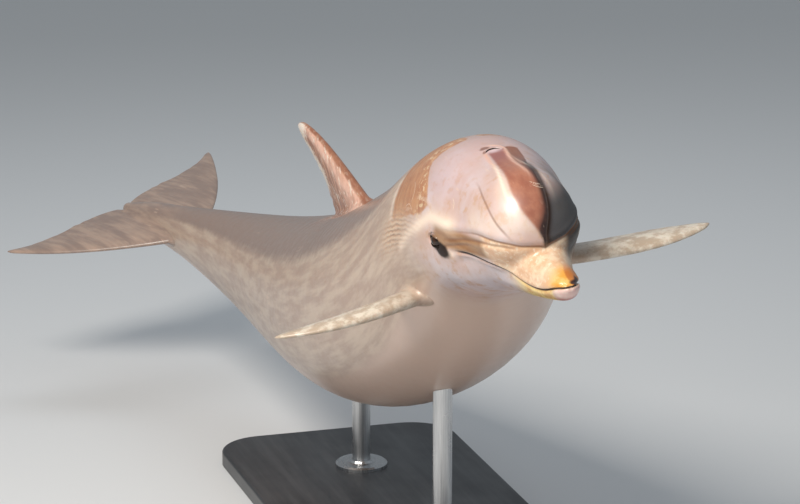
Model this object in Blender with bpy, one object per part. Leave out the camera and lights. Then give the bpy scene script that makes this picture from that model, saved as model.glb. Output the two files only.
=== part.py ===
"""A life-size bottlenose dolphin, swimming with its head lifted level, held on a plain display stand.

Metres, +Z up.  The dolphin looks along -Y and its left side is towards +X.  The floor is z = 0 and
the origin is the middle of the underside of the base.  The body is worked out straight first: s is
the distance behind the tip of the upper beak, x runs to the animal's left and z runs up from the
middle of the body.  Every point is then carried onto the bent spine, and the whole dolphin hangs
under one empty that lifts and banks it.
"""

import bmesh
import bpy
import numpy as np
from mathutils import Vector

# ---- size and carriage ----------------------------------------------------------------------
REACH = 0.30                # no skin is farther than this from the core line
HALVINGS = 26               # steps that close in on the skin
TINY = 1e-6                 # keeps a division from failing
GAP = 0.0003                # clearance left between two pieces that meet
LIP_GAP = 0.0008            # between the closed jaws
SEAT = 0.0009               # clearance of a fin root or a rod to the body
NOTCH_S = 2.44              # tip of the upper beak to the notch between the flukes
HEAD_HEIGHT = 0.78          # mouth level above the floor
HEAD_PLACE = (-0.02, -0.98)     # the beak tip, sideways and forward of the middle of the base
BANK = np.radians(-9.5)     # the left side is carried higher than the right

# The spine: level at the head, sloping down behind it, level again at the tail, which swings right.
SPINE_S = (0.34, 0.48, 0.62, 0.80, 1.05, 1.35, 1.75, 2.10, 2.40)
SPINE_SLOPE = (0.0, 21.5, 32.5, 29.5, 22.0, 11.0, 0.0, -5.0, -8.0)     # degrees downwards
SPINE_TURN = (0.0, -2.5, 0.0, 5.0, 6.5, 6.5, 11.0, 18.0, 24.0)         # degrees to its right
TRUNK_TWIST = 5.0           # degrees that the trunk rolls against the head

# ---- the body in profile --------------------------------------------------------------------
TRUNK_POWER = 2.1           # of the section: 2 is an ellipse, and more is squarer
TRUNK_FRONT = 3.0           # how steeply the trunk ends ahead of its first station
TRUNK_S = (0.14, 0.22, 0.30, 0.38, 0.48, 0.62, 0.82, 1.05, 1.28, 1.50, 1.72, 1.92, 2.10, 2.24, 2.35, 2.44)
TRUNK_UP = (0.050, 0.115, 0.158, 0.172, 0.175, 0.186, 0.205, 0.214,
            0.206, 0.184, 0.151, 0.118, 0.086, 0.060, 0.038, 0.012)
TRUNK_DOWN = (0.030, 0.060, 0.092, 0.118, 0.146, 0.176, 0.197, 0.203,
              0.194, 0.172, 0.142, 0.110, 0.078, 0.052, 0.032, 0.010)
TRUNK_HALF = (0.032, 0.084, 0.120, 0.139, 0.155, 0.175, 0.193, 0.198,
              0.188, 0.163, 0.126, 0.089, 0.058, 0.040, 0.032, 0.012)
MELON_AT = (0.213, 0.048)           # s and z of the middle of the melon
MELON_REACH = (0.116, 0.094, 0.112)     # along s, sideways, up
MELON_SINK = 0.060                  # downwards, into the upper jaw
MELON_POWER = 2.2                   # over 2: blunter in front than an ellipse, seen from above
MOUTH_S = (-0.02, 0.0, 0.035, 0.078, 0.12, 0.16, 0.20, 0.24, 0.275, 0.31)
MOUTH_Z = (-0.001, -0.003, -0.012, -0.0185, -0.0125, 0.0035, 0.0160, 0.0205, 0.0170, 0.013)
BEAK_S = (0.0, 0.05, 0.10, 0.15, 0.20, 0.30)
BEAK_TOP = (0.012, 0.0238, 0.038, 0.053, 0.066, 0.082)
CHIN_S = (-0.012, 0.0, 0.05, 0.10, 0.15, 0.20, 0.25, 0.30)
CHIN_LOW = (-0.026, -0.029, -0.040, -0.049, -0.056, -0.062, -0.068, -0.076)
JAW_S = (-0.02, 0.0, 0.05, 0.10, 0.15, 0.20, 0.25, 0.30, 0.36, 0.45)
JAW_HALF = (0.0252, 0.0265, 0.0325, 0.0422, 0.059, 0.079, 0.098, 0.109, 0.110, 0.100)
CHIN_LEAD = 0.012           # the lower jaw reaches this far beyond the upper
BEAK_POWER = (2.0, 3.0)     # of the beak's section, in front and under the melon
BEAK_SQUARE = (0.06, 0.14)  # where it changes from one to the other
JAW_POWER = 2.2
BEAK_NOSE = ((0.044, 2.0), (0.048, 2.1))    # length and power of its rounding, in height and in width
JAW_NOSE = ((0.032, 2.2), (0.042, 2.2))
LIP_LEVEL = 0.003           # each jaw is widest this far from the mouth line
LIP_DEPTH = (0.008, 0.007)  # how far the beak reaches below there, and the lower jaw above
LIP_BURY = (0.02, 0.2, 0.3)     # and how much more further back, from one station to the next
JAW_FADE = (1.2, 0.32)      # how steeply both jaws sink into the head, and from where
NOSE_STOP = (4.0, 0.0005)   # how steeply a jaw ends ahead of its tip, and how close to it

# How the forms run into each other: the width of the round, how fast it grows, and from where.
MELON_ROUND = 0.05
BEAK_ROUND = (0.008, 0.24, 0.15)
JAW_ROUND = (0.0035, 0.35, 0.22)
EASE = 0.012                # length over which a blend starts to grow

# ---- where the body is parted ---------------------------------------------------------------
CHIN_SINK = 0.011           # the core line runs this far under the mouth at the chin
CHIN_LEVEL = 0.035          # and meets it here
BEAK_END = 0.097
GAPE = 0.264                # corner of the mouth
HEAD_END = 0.42
TRUNK_PIECES = {            # where each piece behind the head ends, and how many sections it has
    "neck": (0.62, 8), "chest": (0.98, 10), "loin": (1.42, 11), "tail_root": (1.92, 11),
    "tail_stock": (2.43, 13),
}
HEAD_SECTIONS = 9           # behind the gape
PALATE_SECTIONS = 14        # from the beak to the gape
AROUND = 32                 # points round a section of the body
FIN_AROUND = 16             # and of a fin
FIN_SECTIONS = 11           # from its root to its tip

# ---- eyes and blowhole ----------------------------------------------------------------------
EYE_S = 0.338
EYE_ANGLE = np.radians(85.0)    # from straight up, round the section
EYE_RADIUS = 0.0145
EYE_DEPTH = 0.0105          # middle of the eyeball under the skin
BLOWHOLE_S = 0.331
BLOWHOLE_RADIUS = 0.017     # the slit is an arc, hollow side forwards
BLOWHOLE_SPREAD = np.radians(62.0)
BLOWHOLE_WIDTH = 0.0016
BLOWHOLE_DEPTH = 0.009

# ---- fins -----------------------------------------------------------------------------------
# Edge curves as cubics, thickness at root and tip, and the share of the span that the tip rounds over.
DORSAL = dict(leading=((0, 1.03, 0.170), (0, 1.13, 0.288), (0, 1.215, 0.390), (0, 1.372, 0.413)),
              trailing=((0, 1.36, 0.150), (0, 1.300, 0.215), (0, 1.292, 0.300), (0, 1.398, 0.384)),
              thickness=(0.040, 0.012), tip=0.10)
FLIPPER = dict(leading=((0.105, 0.520, -0.080), (0.205, 0.480, -0.104), (0.325, 0.425, -0.118),
                        (0.425, 0.500, -0.092)),
               trailing=((0.115, 0.632, -0.042), (0.205, 0.600, -0.060), (0.315, 0.560, -0.068),
                         (0.421, 0.520, -0.086)),
               thickness=(0.036, 0.007), tip=0.06)
FLUKE = dict(leading=((GAP / 2, 2.165, 0), (0.120, 2.255, 0), (0.225, 2.350, 0), (0.304, 2.500, 0)),
             trailing=((GAP / 2, NOTCH_S, 0), (0.085, 2.505, 0), (0.200, 2.435, 0), (0.298, 2.508, 0)),
             thickness=(0.030, 0.006), tip=0.04)

# ---- stand ----------------------------------------------------------------------------------
BASE_SIZE = (0.52, 1.20, 0.030)
BASE_CORNER = 0.10
ROD_RADIUS = 0.019
ROD_PLACES = {"front": (0.0, -0.22), "rear": (0.0, 0.34)}
ROD_TOP = 0.45              # before the belly trims it
FLANGE_RADIUS = 0.055
FLANGE_HEIGHT = 0.016

# ---- colours: base colour, roughness, metallic ----------------------------------------------
FINISHES = {
    "back": ((0.235, 0.165, 0.145), 0.32, 0.0),
    "face": ((0.430, 0.290, 0.235), 0.30, 0.0),
    "beak": ((0.520, 0.270, 0.110), 0.30, 0.0),
    "chin": ((0.600, 0.430, 0.330), 0.32, 0.0),
    "fin": ((0.240, 0.120, 0.085), 0.34, 0.0),
    "flipper": ((0.360, 0.285, 0.225), 0.34, 0.0),
    "eye": ((0.012, 0.008, 0.007), 0.06, 0.0),
    "base": ((0.060, 0.062, 0.066), 0.45, 0.0),
    "steel": ((0.620, 0.625, 0.630), 0.28, 1.0),
}


# ---- curves ---------------------------------------------------------------------------------
def spline(knots, values, at):
    """Natural cubic through the knots: each piece is a cubic and the bending is nought at both ends."""
    knots, values = np.asarray(knots, float), np.asarray(values, float)
    span, rise = np.diff(knots), np.diff(values)
    system, right = np.eye(len(knots)), np.zeros(len(knots))
    for i in range(1, len(knots) - 1):
        system[i, i - 1:i + 2] = span[i - 1], 2 * (span[i - 1] + span[i]), span[i]
        right[i] = 6 * (rise[i] / span[i] - rise[i - 1] / span[i - 1])
    bending = np.linalg.solve(system, right)
    at = np.clip(at, knots[0], knots[-1])
    i = np.clip(np.searchsorted(knots, at, side="right") - 1, 0, len(span) - 1)
    h, a, b = span[i], knots[i + 1] - at, at - knots[i]
    return (bending[i] * a**3 + bending[i + 1] * b**3) / (6 * h) + (
        (values[i] / h - bending[i] * h / 6) * a + (values[i + 1] / h - bending[i + 1] * h / 6) * b)


def smooth_step(start, end, at):
    """0 before start, 1 after end, and 3t^2 - 2t^3 between."""
    t = np.clip((at - start) / (end - start), 0, 1)
    return t * t * (3 - 2 * t)


def bezier(points, t):
    """Cubic with the four control points given."""
    p, t = np.asarray(points, float), np.asarray(t, float)[..., None]
    return (1 - t)**3 * p[0] + 3 * t * (1 - t)**2 * p[1] + 3 * t * t * (1 - t) * p[2] + t**3 * p[3]


# ---- the straight body as a field: negative inside, nought on the skin ------------------------
def merged(a, b, blend):
    """The smaller of two fields, rounded over where they are within blend of each other."""
    h = np.clip(0.5 + 0.5 * (b - a) / blend, 0, 1)
    return b + (a - b) * h - blend * h * (1 - h)


def section(x, z, half, up, down, power):
    """Field of a tube whose section is |x/half|^power + |z/up or down|^power = 1."""
    tall = np.where(z > 0, up, down)
    reach = (np.abs(x / half)**power + np.abs(z / tall)**power)**(1 / power) + 1e-9
    return np.hypot(x, z) * (1 - 1 / reach)


def rounded(t, length, power):
    """Blunt nose of a tube: 0 at t = 0, rising steeply and level at t = length."""
    return (1 - (1 - np.clip(t / length, 0, 1))**power)**(1 / power)


def growing(width, rate, start, s):
    """width, and rate more for each metre behind start; the bend at start is spread over EASE."""
    return width + rate * EASE * np.logaddexp(0, (s - start) / EASE)


def mouth(s):
    """Height of the mouth line."""
    return spline(MOUTH_S, MOUTH_Z, s)


def jaw(t, x, z, half, tall, lip, noses, power):
    """Field of one jaw, t behind its own tip; tall is its height from its widest level and lip the depth."""
    tall = rounded(t, *noses[0]) * tall
    wide = rounded(t, *noses[1]) * half
    edge = np.minimum(lip, 0.5 * tall) + LIP_BURY[0] * smooth_step(*LIP_BURY[1:], t)
    tube = section(x, z, wide + TINY, tall + TINY, edge + TINY, power)
    return tube + NOSE_STOP[0] * np.clip(NOSE_STOP[1] - t, 0, None)


def flesh(s, x, z):
    """Trunk, melon, upper beak and lower jaw, run together."""
    trunk = section(x, z, spline(TRUNK_S, TRUNK_HALF, s), spline(TRUNK_S, TRUNK_UP, s),
                    spline(TRUNK_S, TRUNK_DOWN, s), TRUNK_POWER)
    trunk = trunk + TRUNK_FRONT * np.clip(TRUNK_S[0] - s, 0, None)
    along, side, high = MELON_REACH
    ahead, above = s - MELON_AT[0], z - MELON_AT[1]
    tall = np.where(above > 0, high, MELON_SINK)
    level_reach = (np.abs(ahead / along)**MELON_POWER + np.abs(x / side)**MELON_POWER)**(1 / MELON_POWER)
    reach = np.hypot(level_reach, above / tall) + TINY
    steepness = np.sqrt((ahead / along**2)**2 + (x / side**2)**2 + (above / tall**2)**2) + TINY
    melon = reach * (reach - 1) / steepness

    width, level = spline(JAW_S, JAW_HALF, s), mouth(s)
    fade = growing(0.0, *JAW_FADE, s)
    square = BEAK_POWER[0] + (BEAK_POWER[1] - BEAK_POWER[0]) * smooth_step(*BEAK_SQUARE, s)
    upper = jaw(s, x, z - level - LIP_LEVEL, width, spline(BEAK_S, BEAK_TOP, s) - level - LIP_LEVEL,
                LIP_DEPTH[0], BEAK_NOSE, square)
    lower = jaw(s + CHIN_LEAD, x, level - LIP_LEVEL - z, width - LIP_LEVEL,
                level - LIP_LEVEL - spline(CHIN_S, CHIN_LOW, s), LIP_DEPTH[1], JAW_NOSE, JAW_POWER)
    whole = merged(trunk, melon, MELON_ROUND)
    whole = merged(whole, upper + fade, growing(*BEAK_ROUND, s))
    return merged(whole, lower + fade, growing(*JAW_ROUND, s))


def core_height(s):
    """Height of the line that the sections are measured from: the mouth, then the middle of the body."""
    return mouth(s) * (1 - smooth_step(0.30, 0.50, s))


def skin(s, angle, grow=0.0, lift=0.0):
    """Points (x, s, z) where rays from the core line, at angle from straight up, leave the flesh."""
    s, angle = np.broadcast_arrays(np.asarray(s, float), angle)
    near, far = np.zeros(s.shape), np.full(s.shape, REACH)
    start = core_height(s) + lift
    for _ in range(HALVINGS):
        middle = (near + far) / 2
        outside = flesh(s, middle * np.sin(angle), start + middle * np.cos(angle)) > 0
        far, near = np.where(outside, middle, far), np.where(outside, near, middle)
    reach = near + grow
    return np.stack([reach * np.sin(angle), s, start + reach * np.cos(angle)], -1)


def outward(point):
    """Unit normal of the skin at a straight point (x, s, z)."""
    step = 1e-4
    slope = []
    for axis in range(3):
        ends = []
        for sign in (1, -1):
            moved = np.array(point, float)
            moved[axis] += sign * step
            ends.append(float(flesh(moved[1], moved[0], moved[2])))
        slope.append(ends[0] - ends[1])
    return np.array(slope) / np.linalg.norm(slope)


# ---- the bent spine -------------------------------------------------------------------------
def spine():
    """Stations s, the place of the core line at each, and its left and up directions."""
    s = np.linspace(-0.05, NOTCH_S + 0.25, 1081)
    slope = np.radians(spline(SPINE_S, SPINE_SLOPE, s))
    turn = -np.radians(spline(SPINE_S, SPINE_TURN, s))
    along = np.stack([np.sin(turn) * np.cos(slope), np.cos(turn) * np.cos(slope), -np.sin(slope)], -1)
    place = np.zeros_like(along)
    place[1:] = np.cumsum((along[1:] + along[:-1]) / 2, axis=0) * (s[1] - s[0])
    place -= np.stack([np.interp(0, s, place[:, k]) for k in range(3)], -1)
    left = np.stack([np.cos(turn), -np.sin(turn), 0 * turn], -1)
    up = np.cross(left, along)
    roll = np.radians(TRUNK_TWIST) * smooth_step(0.3, 0.9, s)[:, None]
    return s, place, np.cos(roll) * left + np.sin(roll) * up, np.cos(roll) * up - np.sin(roll) * left


SPINE = spine()


def posed(points):
    """Straight points (x, s, z) carried onto the bent spine: place(s) + x left(s) + z up(s)."""
    points = np.asarray(points, float)
    place, left, up = (np.stack([np.interp(points[..., 1], SPINE[0], line[:, k]) for k in range(3)], -1)
                       for line in SPINE[1:])
    return place + points[..., :1] * left + points[..., 2:] * up


# ---- building objects -----------------------------------------------------------------------
def finish(name):
    """The material called name, made on first use."""
    made = bpy.data.materials.get(name)
    if made:
        return made
    colour, roughness, metallic = FINISHES[name]
    made = bpy.data.materials.new(name)
    made.use_nodes = True
    shader = made.node_tree.nodes["Principled BSDF"]
    shader.inputs["Base Color"].default_value = (*colour, 1.0)
    shader.inputs["Roughness"].default_value = roughness
    shader.inputs["Metallic"].default_value = metallic
    made.diffuse_color = (*colour, 1.0)
    return made


def place_mesh(name, mesh, material, parent=None):
    """Put a mesh into the scene as one named object with its own copy of a finish."""
    made = bpy.data.objects.new(name, mesh)
    bpy.context.scene.collection.objects.link(made)
    own = finish(material).copy()
    own.name = name + "_finish"
    mesh.materials.append(own)
    made.parent = parent
    return made


def closed_mesh(name, shape, sharp):
    """The mesh of a closed bmesh, its faces turned outwards, smooth except over edges sharper than this."""
    bmesh.ops.recalc_face_normals(shape, faces=shape.faces)
    if shape.calc_volume(signed=True) < 0:
        bmesh.ops.reverse_faces(shape, faces=shape.faces)
    mesh = bpy.data.meshes.new(name)
    shape.to_mesh(mesh)
    shape.free()
    mesh.shade_smooth()
    mesh.set_sharp_from_angle(angle=np.radians(sharp))
    return mesh


def lofted(name, rings, material, parent, sharp=60.0):
    """Closed solid through rings (n, m, 3): sides between the rings and a flat face on each end."""
    shape = bmesh.new()
    rows = [[shape.verts.new(point) for point in ring] for ring in rings]
    for near, far in zip(rows, rows[1:]):
        for j in range(len(near)):
            k = (j + 1) % len(near)
            shape.faces.new((near[j], near[k], far[k], far[j]))
    shape.faces.new(rows[0][::-1])
    shape.faces.new(rows[-1])
    bmesh.ops.remove_doubles(shape, verts=shape.verts, dist=1e-6)
    bmesh.ops.dissolve_degenerate(shape, edges=shape.edges, dist=1e-6)
    return place_mesh(name, closed_mesh(name, shape, sharp), material, parent)


def hide(cutter):
    cutter.hide_render = True
    cutter.display_type = "WIRE"


def cut(piece, cutter):
    """Take the cutter's volume out of the piece."""
    bite = piece.modifiers.new("cut_" + cutter.name, "BOOLEAN")
    bite.operation = "DIFFERENCE"
    bite.solver = "EXACT"
    bite.object = cutter


# ---- body pieces ----------------------------------------------------------------------------
def circle_angles():
    """Section angles from straight up, with one point exactly at each corner of the mouth."""
    return 2 * np.pi * np.arange(AROUND) / AROUND


def tapered(start, end, count, crowd=1.0):
    """Stations from start to end, closer together near the start where crowd is over 1."""
    return start + (end - start) * np.linspace(0, 1, count)**crowd


def palate(rings, s, level):
    """Rings whose lower half is drawn up to the flat palate at the height level."""
    angle = circle_angles()
    below = np.cos(angle) < 1e-9
    across = rings[:, [AROUND // 4], 0] * np.sin(angle)
    flat = np.stack(np.broadcast_arrays(across, s[:, None], level[:, None]), -1)
    return np.where(below[None, :, None], flat, rings)


def body_rings(start, end, count, grow=0.0):
    s = tapered(start, end, count)
    return skin(s[:, None], circle_angles()[None, :], grow)


def upper_rings(start, end, count, crowd=1.0):
    s = tapered(start, end, count, crowd)
    rings = skin(s[:, None], circle_angles()[None, :])
    return palate(rings, s, mouth(s) + LIP_GAP / 2)


def beak_piece(dolphin):
    rings = upper_rings(0.0012, BEAK_END - GAP, 13, 1.7)
    return lofted("beak_upper", posed(rings), "beak", dolphin)


def head_piece(dolphin):
    """The head from the beak to the neck, with the palate in front of the gape."""
    front = upper_rings(BEAK_END, GAPE, PALATE_SECTIONS)
    back = body_rings(GAPE, HEAD_END - GAP, HEAD_SECTIONS)
    return lofted("head", posed(np.concatenate([front, back])), "face", dolphin)


def jaw_piece(dolphin):
    """The lower jaw: everything under the mouth line, from the chin to the gape."""
    s = tapered(0.0012 - CHIN_LEAD, GAPE - GAP, 18, 1.5)
    sunk = -CHIN_SINK * (1 - smooth_step(-CHIN_LEAD, CHIN_LEVEL, s))
    rings = skin(s[:, None], circle_angles()[None, :], lift=sunk[:, None])
    rings[..., 2] = np.minimum(rings[..., 2], (mouth(s) - LIP_GAP / 2)[:, None])
    return lofted("lower_jaw", posed(rings), "chin", dolphin)


def body_cutter(dolphin):
    """The whole body, a little larger, which trims the roots of the fins and the rods."""
    rings, start = [body_rings(GAPE, HEAD_END, HEAD_SECTIONS, grow=SEAT)], HEAD_END
    for end, count in TRUNK_PIECES.values():
        rings.append(body_rings(start, end, count, grow=SEAT)[1:])
        start = end
    rings = np.concatenate(rings)
    cutter = lofted("body_cutter", posed(rings), "back", dolphin)
    hide(cutter)
    return cutter


# ---- fins -----------------------------------------------------------------------------------
def blade(chord):
    """Half thickness of a fin section along its chord, 1 at the thickest, with a rounded rear edge."""
    wing = 2.969 * np.sqrt(chord) - 1.26 * chord - 3.516 * chord**2 + 2.843 * chord**3 - 1.036 * chord**4
    return np.maximum(wing, 0) + 0.10 * np.sqrt(np.clip(chord * (1 - chord), 0, None))


def fin_rings(shape, side, facing):
    """Sections from root to tip between two edge curves, thick along facing; the chord ends in an arc."""
    tip = shape["tip"]
    outer = 1 - tip + tip * np.sin(np.radians((35, 65, 86)))
    t = np.concatenate([np.linspace(0, 1 - tip, FIN_SECTIONS - len(outer)), outer])
    narrow = np.sqrt(1 - np.clip((t - 1 + tip) / tip, 0, 1)**2)
    mirror = np.array([side, 1, 1])
    front, rear = (bezier(np.array(shape[edge]) * mirror, t) for edge in ("leading", "trailing"))
    turn = 2 * np.pi * np.arange(FIN_AROUND) / FIN_AROUND
    chord = (1 - np.cos(turn)) / 2
    skew = np.sign(np.round(np.sin(turn), 9)) * blade(chord)
    root, end = shape["thickness"]
    half = 0.5 * (root + (end - root) * t) * narrow
    middle, reach = (front + rear) / 2, (rear - front) / 2 * narrow[:, None]
    line = middle[:, None] + reach[:, None] * (2 * chord - 1)[None, :, None]
    return line + (half[:, None] * skew)[..., None] * np.asarray(facing, float) * mirror


def fin(name, shape, side, facing, material, dolphin, cutter):
    """A fin trimmed by the body; side is +1 for the left and -1 for the right."""
    made = lofted(name, posed(fin_rings(shape, side, facing)), material, dolphin)
    cut(made, cutter)


def flipper_facing():
    """The way that the flipper's blade is thick: square to its chord and to its length."""
    leading, trailing = np.array(FLIPPER["leading"]), np.array(FLIPPER["trailing"])
    facing = np.cross(trailing[1] - leading[1], leading[3] - leading[0])
    return facing / np.linalg.norm(facing)


# ---- eyes and blowhole ----------------------------------------------------------------------
def eye(name, side, dolphin, head):
    """An eyeball seated in its socket; side is +1 for the left eye and -1 for the right."""
    on_skin = skin(EYE_S, side * EYE_ANGLE)
    middle = posed(on_skin - EYE_DEPTH * outward(on_skin))
    for label, radius in ((name, EYE_RADIUS), (name + "_socket", EYE_RADIUS + GAP)):
        shape = bmesh.new()
        bmesh.ops.create_uvsphere(shape, u_segments=14, v_segments=9, radius=radius)
        ball = place_mesh(label, closed_mesh(label, shape, 60.0), "eye", dolphin)
        ball.location = middle
    hide(ball)
    cut(head, ball)


def blowhole(dolphin, head):
    """A crescent slit in the crown, cut by a curved wall that follows the skin."""
    turn = np.linspace(-BLOWHOLE_SPREAD, BLOWHOLE_SPREAD, 13)
    walls = []
    for reach in (BLOWHOLE_RADIUS - BLOWHOLE_WIDTH / 2, BLOWHOLE_RADIUS + BLOWHOLE_WIDTH / 2):
        x, s = reach * np.sin(turn), BLOWHOLE_S - BLOWHOLE_RADIUS + reach * np.cos(turn)
        crown = skin(s, np.arctan2(x, 0.17))[..., 2]
        walls.append([np.stack([x, s, crown + rise], -1) for rise in (-BLOWHOLE_DEPTH, 0.006)])
    (inner_low, inner_high), (outer_low, outer_high) = walls
    rings = np.stack([inner_low, inner_high, outer_high, outer_low], 1)
    wall = lofted("blowhole_cutter", posed(rings), "face", dolphin)
    hide(wall)
    cut(head, wall)


# ---- stand ----------------------------------------------------------------------------------
def turned(name, profile, place, material, segments=24):
    """Solid of revolution about the upright axis at place, from a closed profile of (radius, height)."""
    angle = 2 * np.pi * np.arange(segments) / segments
    profile = np.asarray(profile, float)
    rings = np.stack([profile[None, :, 0] * np.cos(angle)[:, None] + place[0],
                      profile[None, :, 0] * np.sin(angle)[:, None] + place[1],
                      np.broadcast_to(profile[None, :, 1], (segments, len(profile)))], -1)
    shape = bmesh.new()
    rows = [[shape.verts.new(point) for point in ring] for ring in rings]
    for i, row in enumerate(rows):
        after = rows[(i + 1) % segments]
        for j in range(len(row)):
            k = (j + 1) % len(row)
            shape.faces.new((row[j], after[j], after[k], row[k]))
    return place_mesh(name, closed_mesh(name, shape, 30.0), material)


def base_plate():
    """A flat plate with round corners and an eased top edge."""
    thick = BASE_SIZE[2]
    shape = bmesh.new()
    bmesh.ops.create_cube(shape, size=1.0)
    bmesh.ops.scale(shape, vec=Vector(BASE_SIZE), verts=shape.verts)
    bmesh.ops.translate(shape, vec=Vector((0, 0, thick / 2)), verts=shape.verts)
    uprights = [edge for edge in shape.edges if abs(edge.verts[0].co.z - edge.verts[1].co.z) > thick / 2]
    bmesh.ops.bevel(shape, geom=uprights, offset=BASE_CORNER, segments=10, affect="EDGES", profile=0.5)
    rim = [edge for edge in shape.edges if all(vert.co.z > thick * 0.9 for vert in edge.verts)]
    bmesh.ops.bevel(shape, geom=rim, offset=0.005, segments=3, affect="EDGES", profile=0.5)
    return place_mesh("stand_base", closed_mesh("stand_base", shape, 40.0), "base")


def rod(where, place, cutter):
    """An upright rod from the base to the belly, which trims its top."""
    shape = bmesh.new()
    bottom = BASE_SIZE[2] + GAP
    bmesh.ops.create_cone(shape, cap_ends=True, segments=24, radius1=ROD_RADIUS, radius2=ROD_RADIUS,
                          depth=ROD_TOP - bottom)
    name = "stand_rod_" + where
    made = place_mesh(name, closed_mesh(name, shape, 30.0), "steel")
    made.location = (*place, (ROD_TOP + bottom) / 2)
    cut(made, cutter)


def flange(where, place):
    """The collar that fixes a rod to the base."""
    bottom, hole = BASE_SIZE[2] + GAP, ROD_RADIUS + GAP
    profile = ((hole, bottom), (FLANGE_RADIUS, bottom), (FLANGE_RADIUS, bottom + FLANGE_HEIGHT * 0.4),
               (FLANGE_RADIUS - 0.004, bottom + FLANGE_HEIGHT * 0.6),
               (hole + 0.010, bottom + FLANGE_HEIGHT * 0.7), (hole + 0.007, bottom + FLANGE_HEIGHT),
               (hole, bottom + FLANGE_HEIGHT))
    turned("stand_flange_" + where, profile, place, "steel")


def main():
    for old in list(bpy.data.objects):
        bpy.data.objects.remove(old, do_unlink=True)
    dolphin = bpy.data.objects.new("dolphin", None)
    bpy.context.scene.collection.objects.link(dolphin)
    dolphin.location = (*HEAD_PLACE, HEAD_HEIGHT)
    dolphin.rotation_euler = (0, BANK, 0)

    beak_piece(dolphin)
    head = head_piece(dolphin)
    jaw_piece(dolphin)
    eye("eye_left", 1, dolphin, head)
    eye("eye_right", -1, dolphin, head)
    blowhole(dolphin, head)
    start = HEAD_END
    for name, (end, count) in TRUNK_PIECES.items():
        lofted(name, posed(body_rings(start, end - GAP, count)), "back", dolphin)
        start = end

    cutter = body_cutter(dolphin)
    fin("dorsal_fin", DORSAL, 1, (1, 0, 0), "fin", dolphin, cutter)
    for label, side in (("left", 1), ("right", -1)):
        fin("flipper_" + label, FLIPPER, side, flipper_facing(), "flipper", dolphin, cutter)
        fin("fluke_" + label, FLUKE, side, (0, 0, 1), "fin", dolphin, cutter)

    base_plate()
    for where, place in ROD_PLACES.items():
        rod(where, place, cutter)
        flange(where, place)


main()
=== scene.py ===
"""The looks of a life-size bottlenose dolphin held on a plain display stand.

Metres, +Z up.  The dolphin looks along -Y and its left side is towards +X.  The skin is one closed
surface.  It is worked out on the straight body first: x runs to the animal's left, s is the distance
behind the tip of the upper beak and z runs up from the middle of the body.  Every point is then
carried onto the bent spine.  Each vertex keeps its straight place and the strengths of the markings
there as attributes, and the material reads those.
"""
import bmesh
import bpy
import numpy as np
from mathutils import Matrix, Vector


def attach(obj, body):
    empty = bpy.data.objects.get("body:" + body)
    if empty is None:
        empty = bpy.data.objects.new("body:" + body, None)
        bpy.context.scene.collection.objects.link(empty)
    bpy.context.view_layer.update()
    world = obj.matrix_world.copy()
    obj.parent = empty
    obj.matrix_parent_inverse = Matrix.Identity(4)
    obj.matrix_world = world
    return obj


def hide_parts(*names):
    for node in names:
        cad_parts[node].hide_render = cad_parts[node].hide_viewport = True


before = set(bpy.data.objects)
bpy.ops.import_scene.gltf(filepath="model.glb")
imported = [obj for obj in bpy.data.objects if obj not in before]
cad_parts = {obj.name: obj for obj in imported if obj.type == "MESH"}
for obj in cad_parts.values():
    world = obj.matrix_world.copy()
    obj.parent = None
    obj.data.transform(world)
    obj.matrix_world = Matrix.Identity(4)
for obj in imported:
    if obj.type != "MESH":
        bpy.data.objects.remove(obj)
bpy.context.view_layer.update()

# ---- carriage ---------------------------------------------------------
NOTCH_S = 2.44              # tip of the upper beak to the notch between the flukes
HEAD_HEIGHT = 0.78          # mouth level above the floor
HEAD_PLACE = (-0.02, -0.98)     # the beak tip, sideways and forward of the middle of the base
BANK = np.radians(-9.5)     # the left side is carried higher than the right

# The spine: level at the head, sloping down behind it, level again at the tail, which swings right.
SPINE_S = (0.34, 0.48, 0.62, 0.80, 1.05, 1.35, 1.75, 2.10, 2.40)
SPINE_SLOPE = (0.0, 21.5, 32.5, 29.5, 22.0, 11.0, 0.0, -5.0, -8.0)     # degrees downwards
SPINE_TURN = (0.0, -2.5, 0.0, 5.0, 6.5, 6.5, 11.0, 18.0, 24.0)         # degrees to its right
TRUNK_TWIST = 5.0           # degrees that the trunk rolls against the head
TWIST_S = (0.3, 0.9)        # between these stations
SPINE_ENDS = (-0.05, 0.25)  # the spine's line runs on past the beak's tip and the notch
SPINE_STATIONS = 1081

# ---- the body in profile ----------------------------------------------
TRUNK_POWER = 2.1           # of the section: 2 is an ellipse, and more is squarer
TRUNK_FRONT = 3.0           # how steeply the trunk ends ahead of its first station
TRUNK_S = (0.14, 0.22, 0.30, 0.38, 0.48, 0.62, 0.82, 1.05,
           1.28, 1.50, 1.72, 1.92, 2.10, 2.24, 2.35, 2.44)
TRUNK_UP = (0.050, 0.115, 0.158, 0.172, 0.175, 0.186, 0.205, 0.214,
            0.206, 0.184, 0.151, 0.118, 0.086, 0.060, 0.038, 0.012)
TRUNK_DOWN = (0.030, 0.060, 0.092, 0.118, 0.146, 0.176, 0.197, 0.203,
              0.194, 0.172, 0.142, 0.110, 0.078, 0.052, 0.032, 0.010)
TRUNK_HALF = (0.032, 0.084, 0.120, 0.139, 0.155, 0.175, 0.193, 0.198,
              0.188, 0.163, 0.126, 0.089, 0.058, 0.040, 0.032, 0.012)
MELON_AT = (0.213, 0.048)           # s and z of the middle of the melon
MELON_REACH = (0.116, 0.094, 0.112)     # along s, sideways, up
MELON_SINK = 0.060                  # downwards, into the upper jaw
MELON_POWER = 2.2                   # over 2: blunter in front than an ellipse, seen from above
MOUTH_S = (-0.02, 0.0, 0.035, 0.078, 0.12, 0.16, 0.20, 0.24, 0.275, 0.31)
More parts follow.
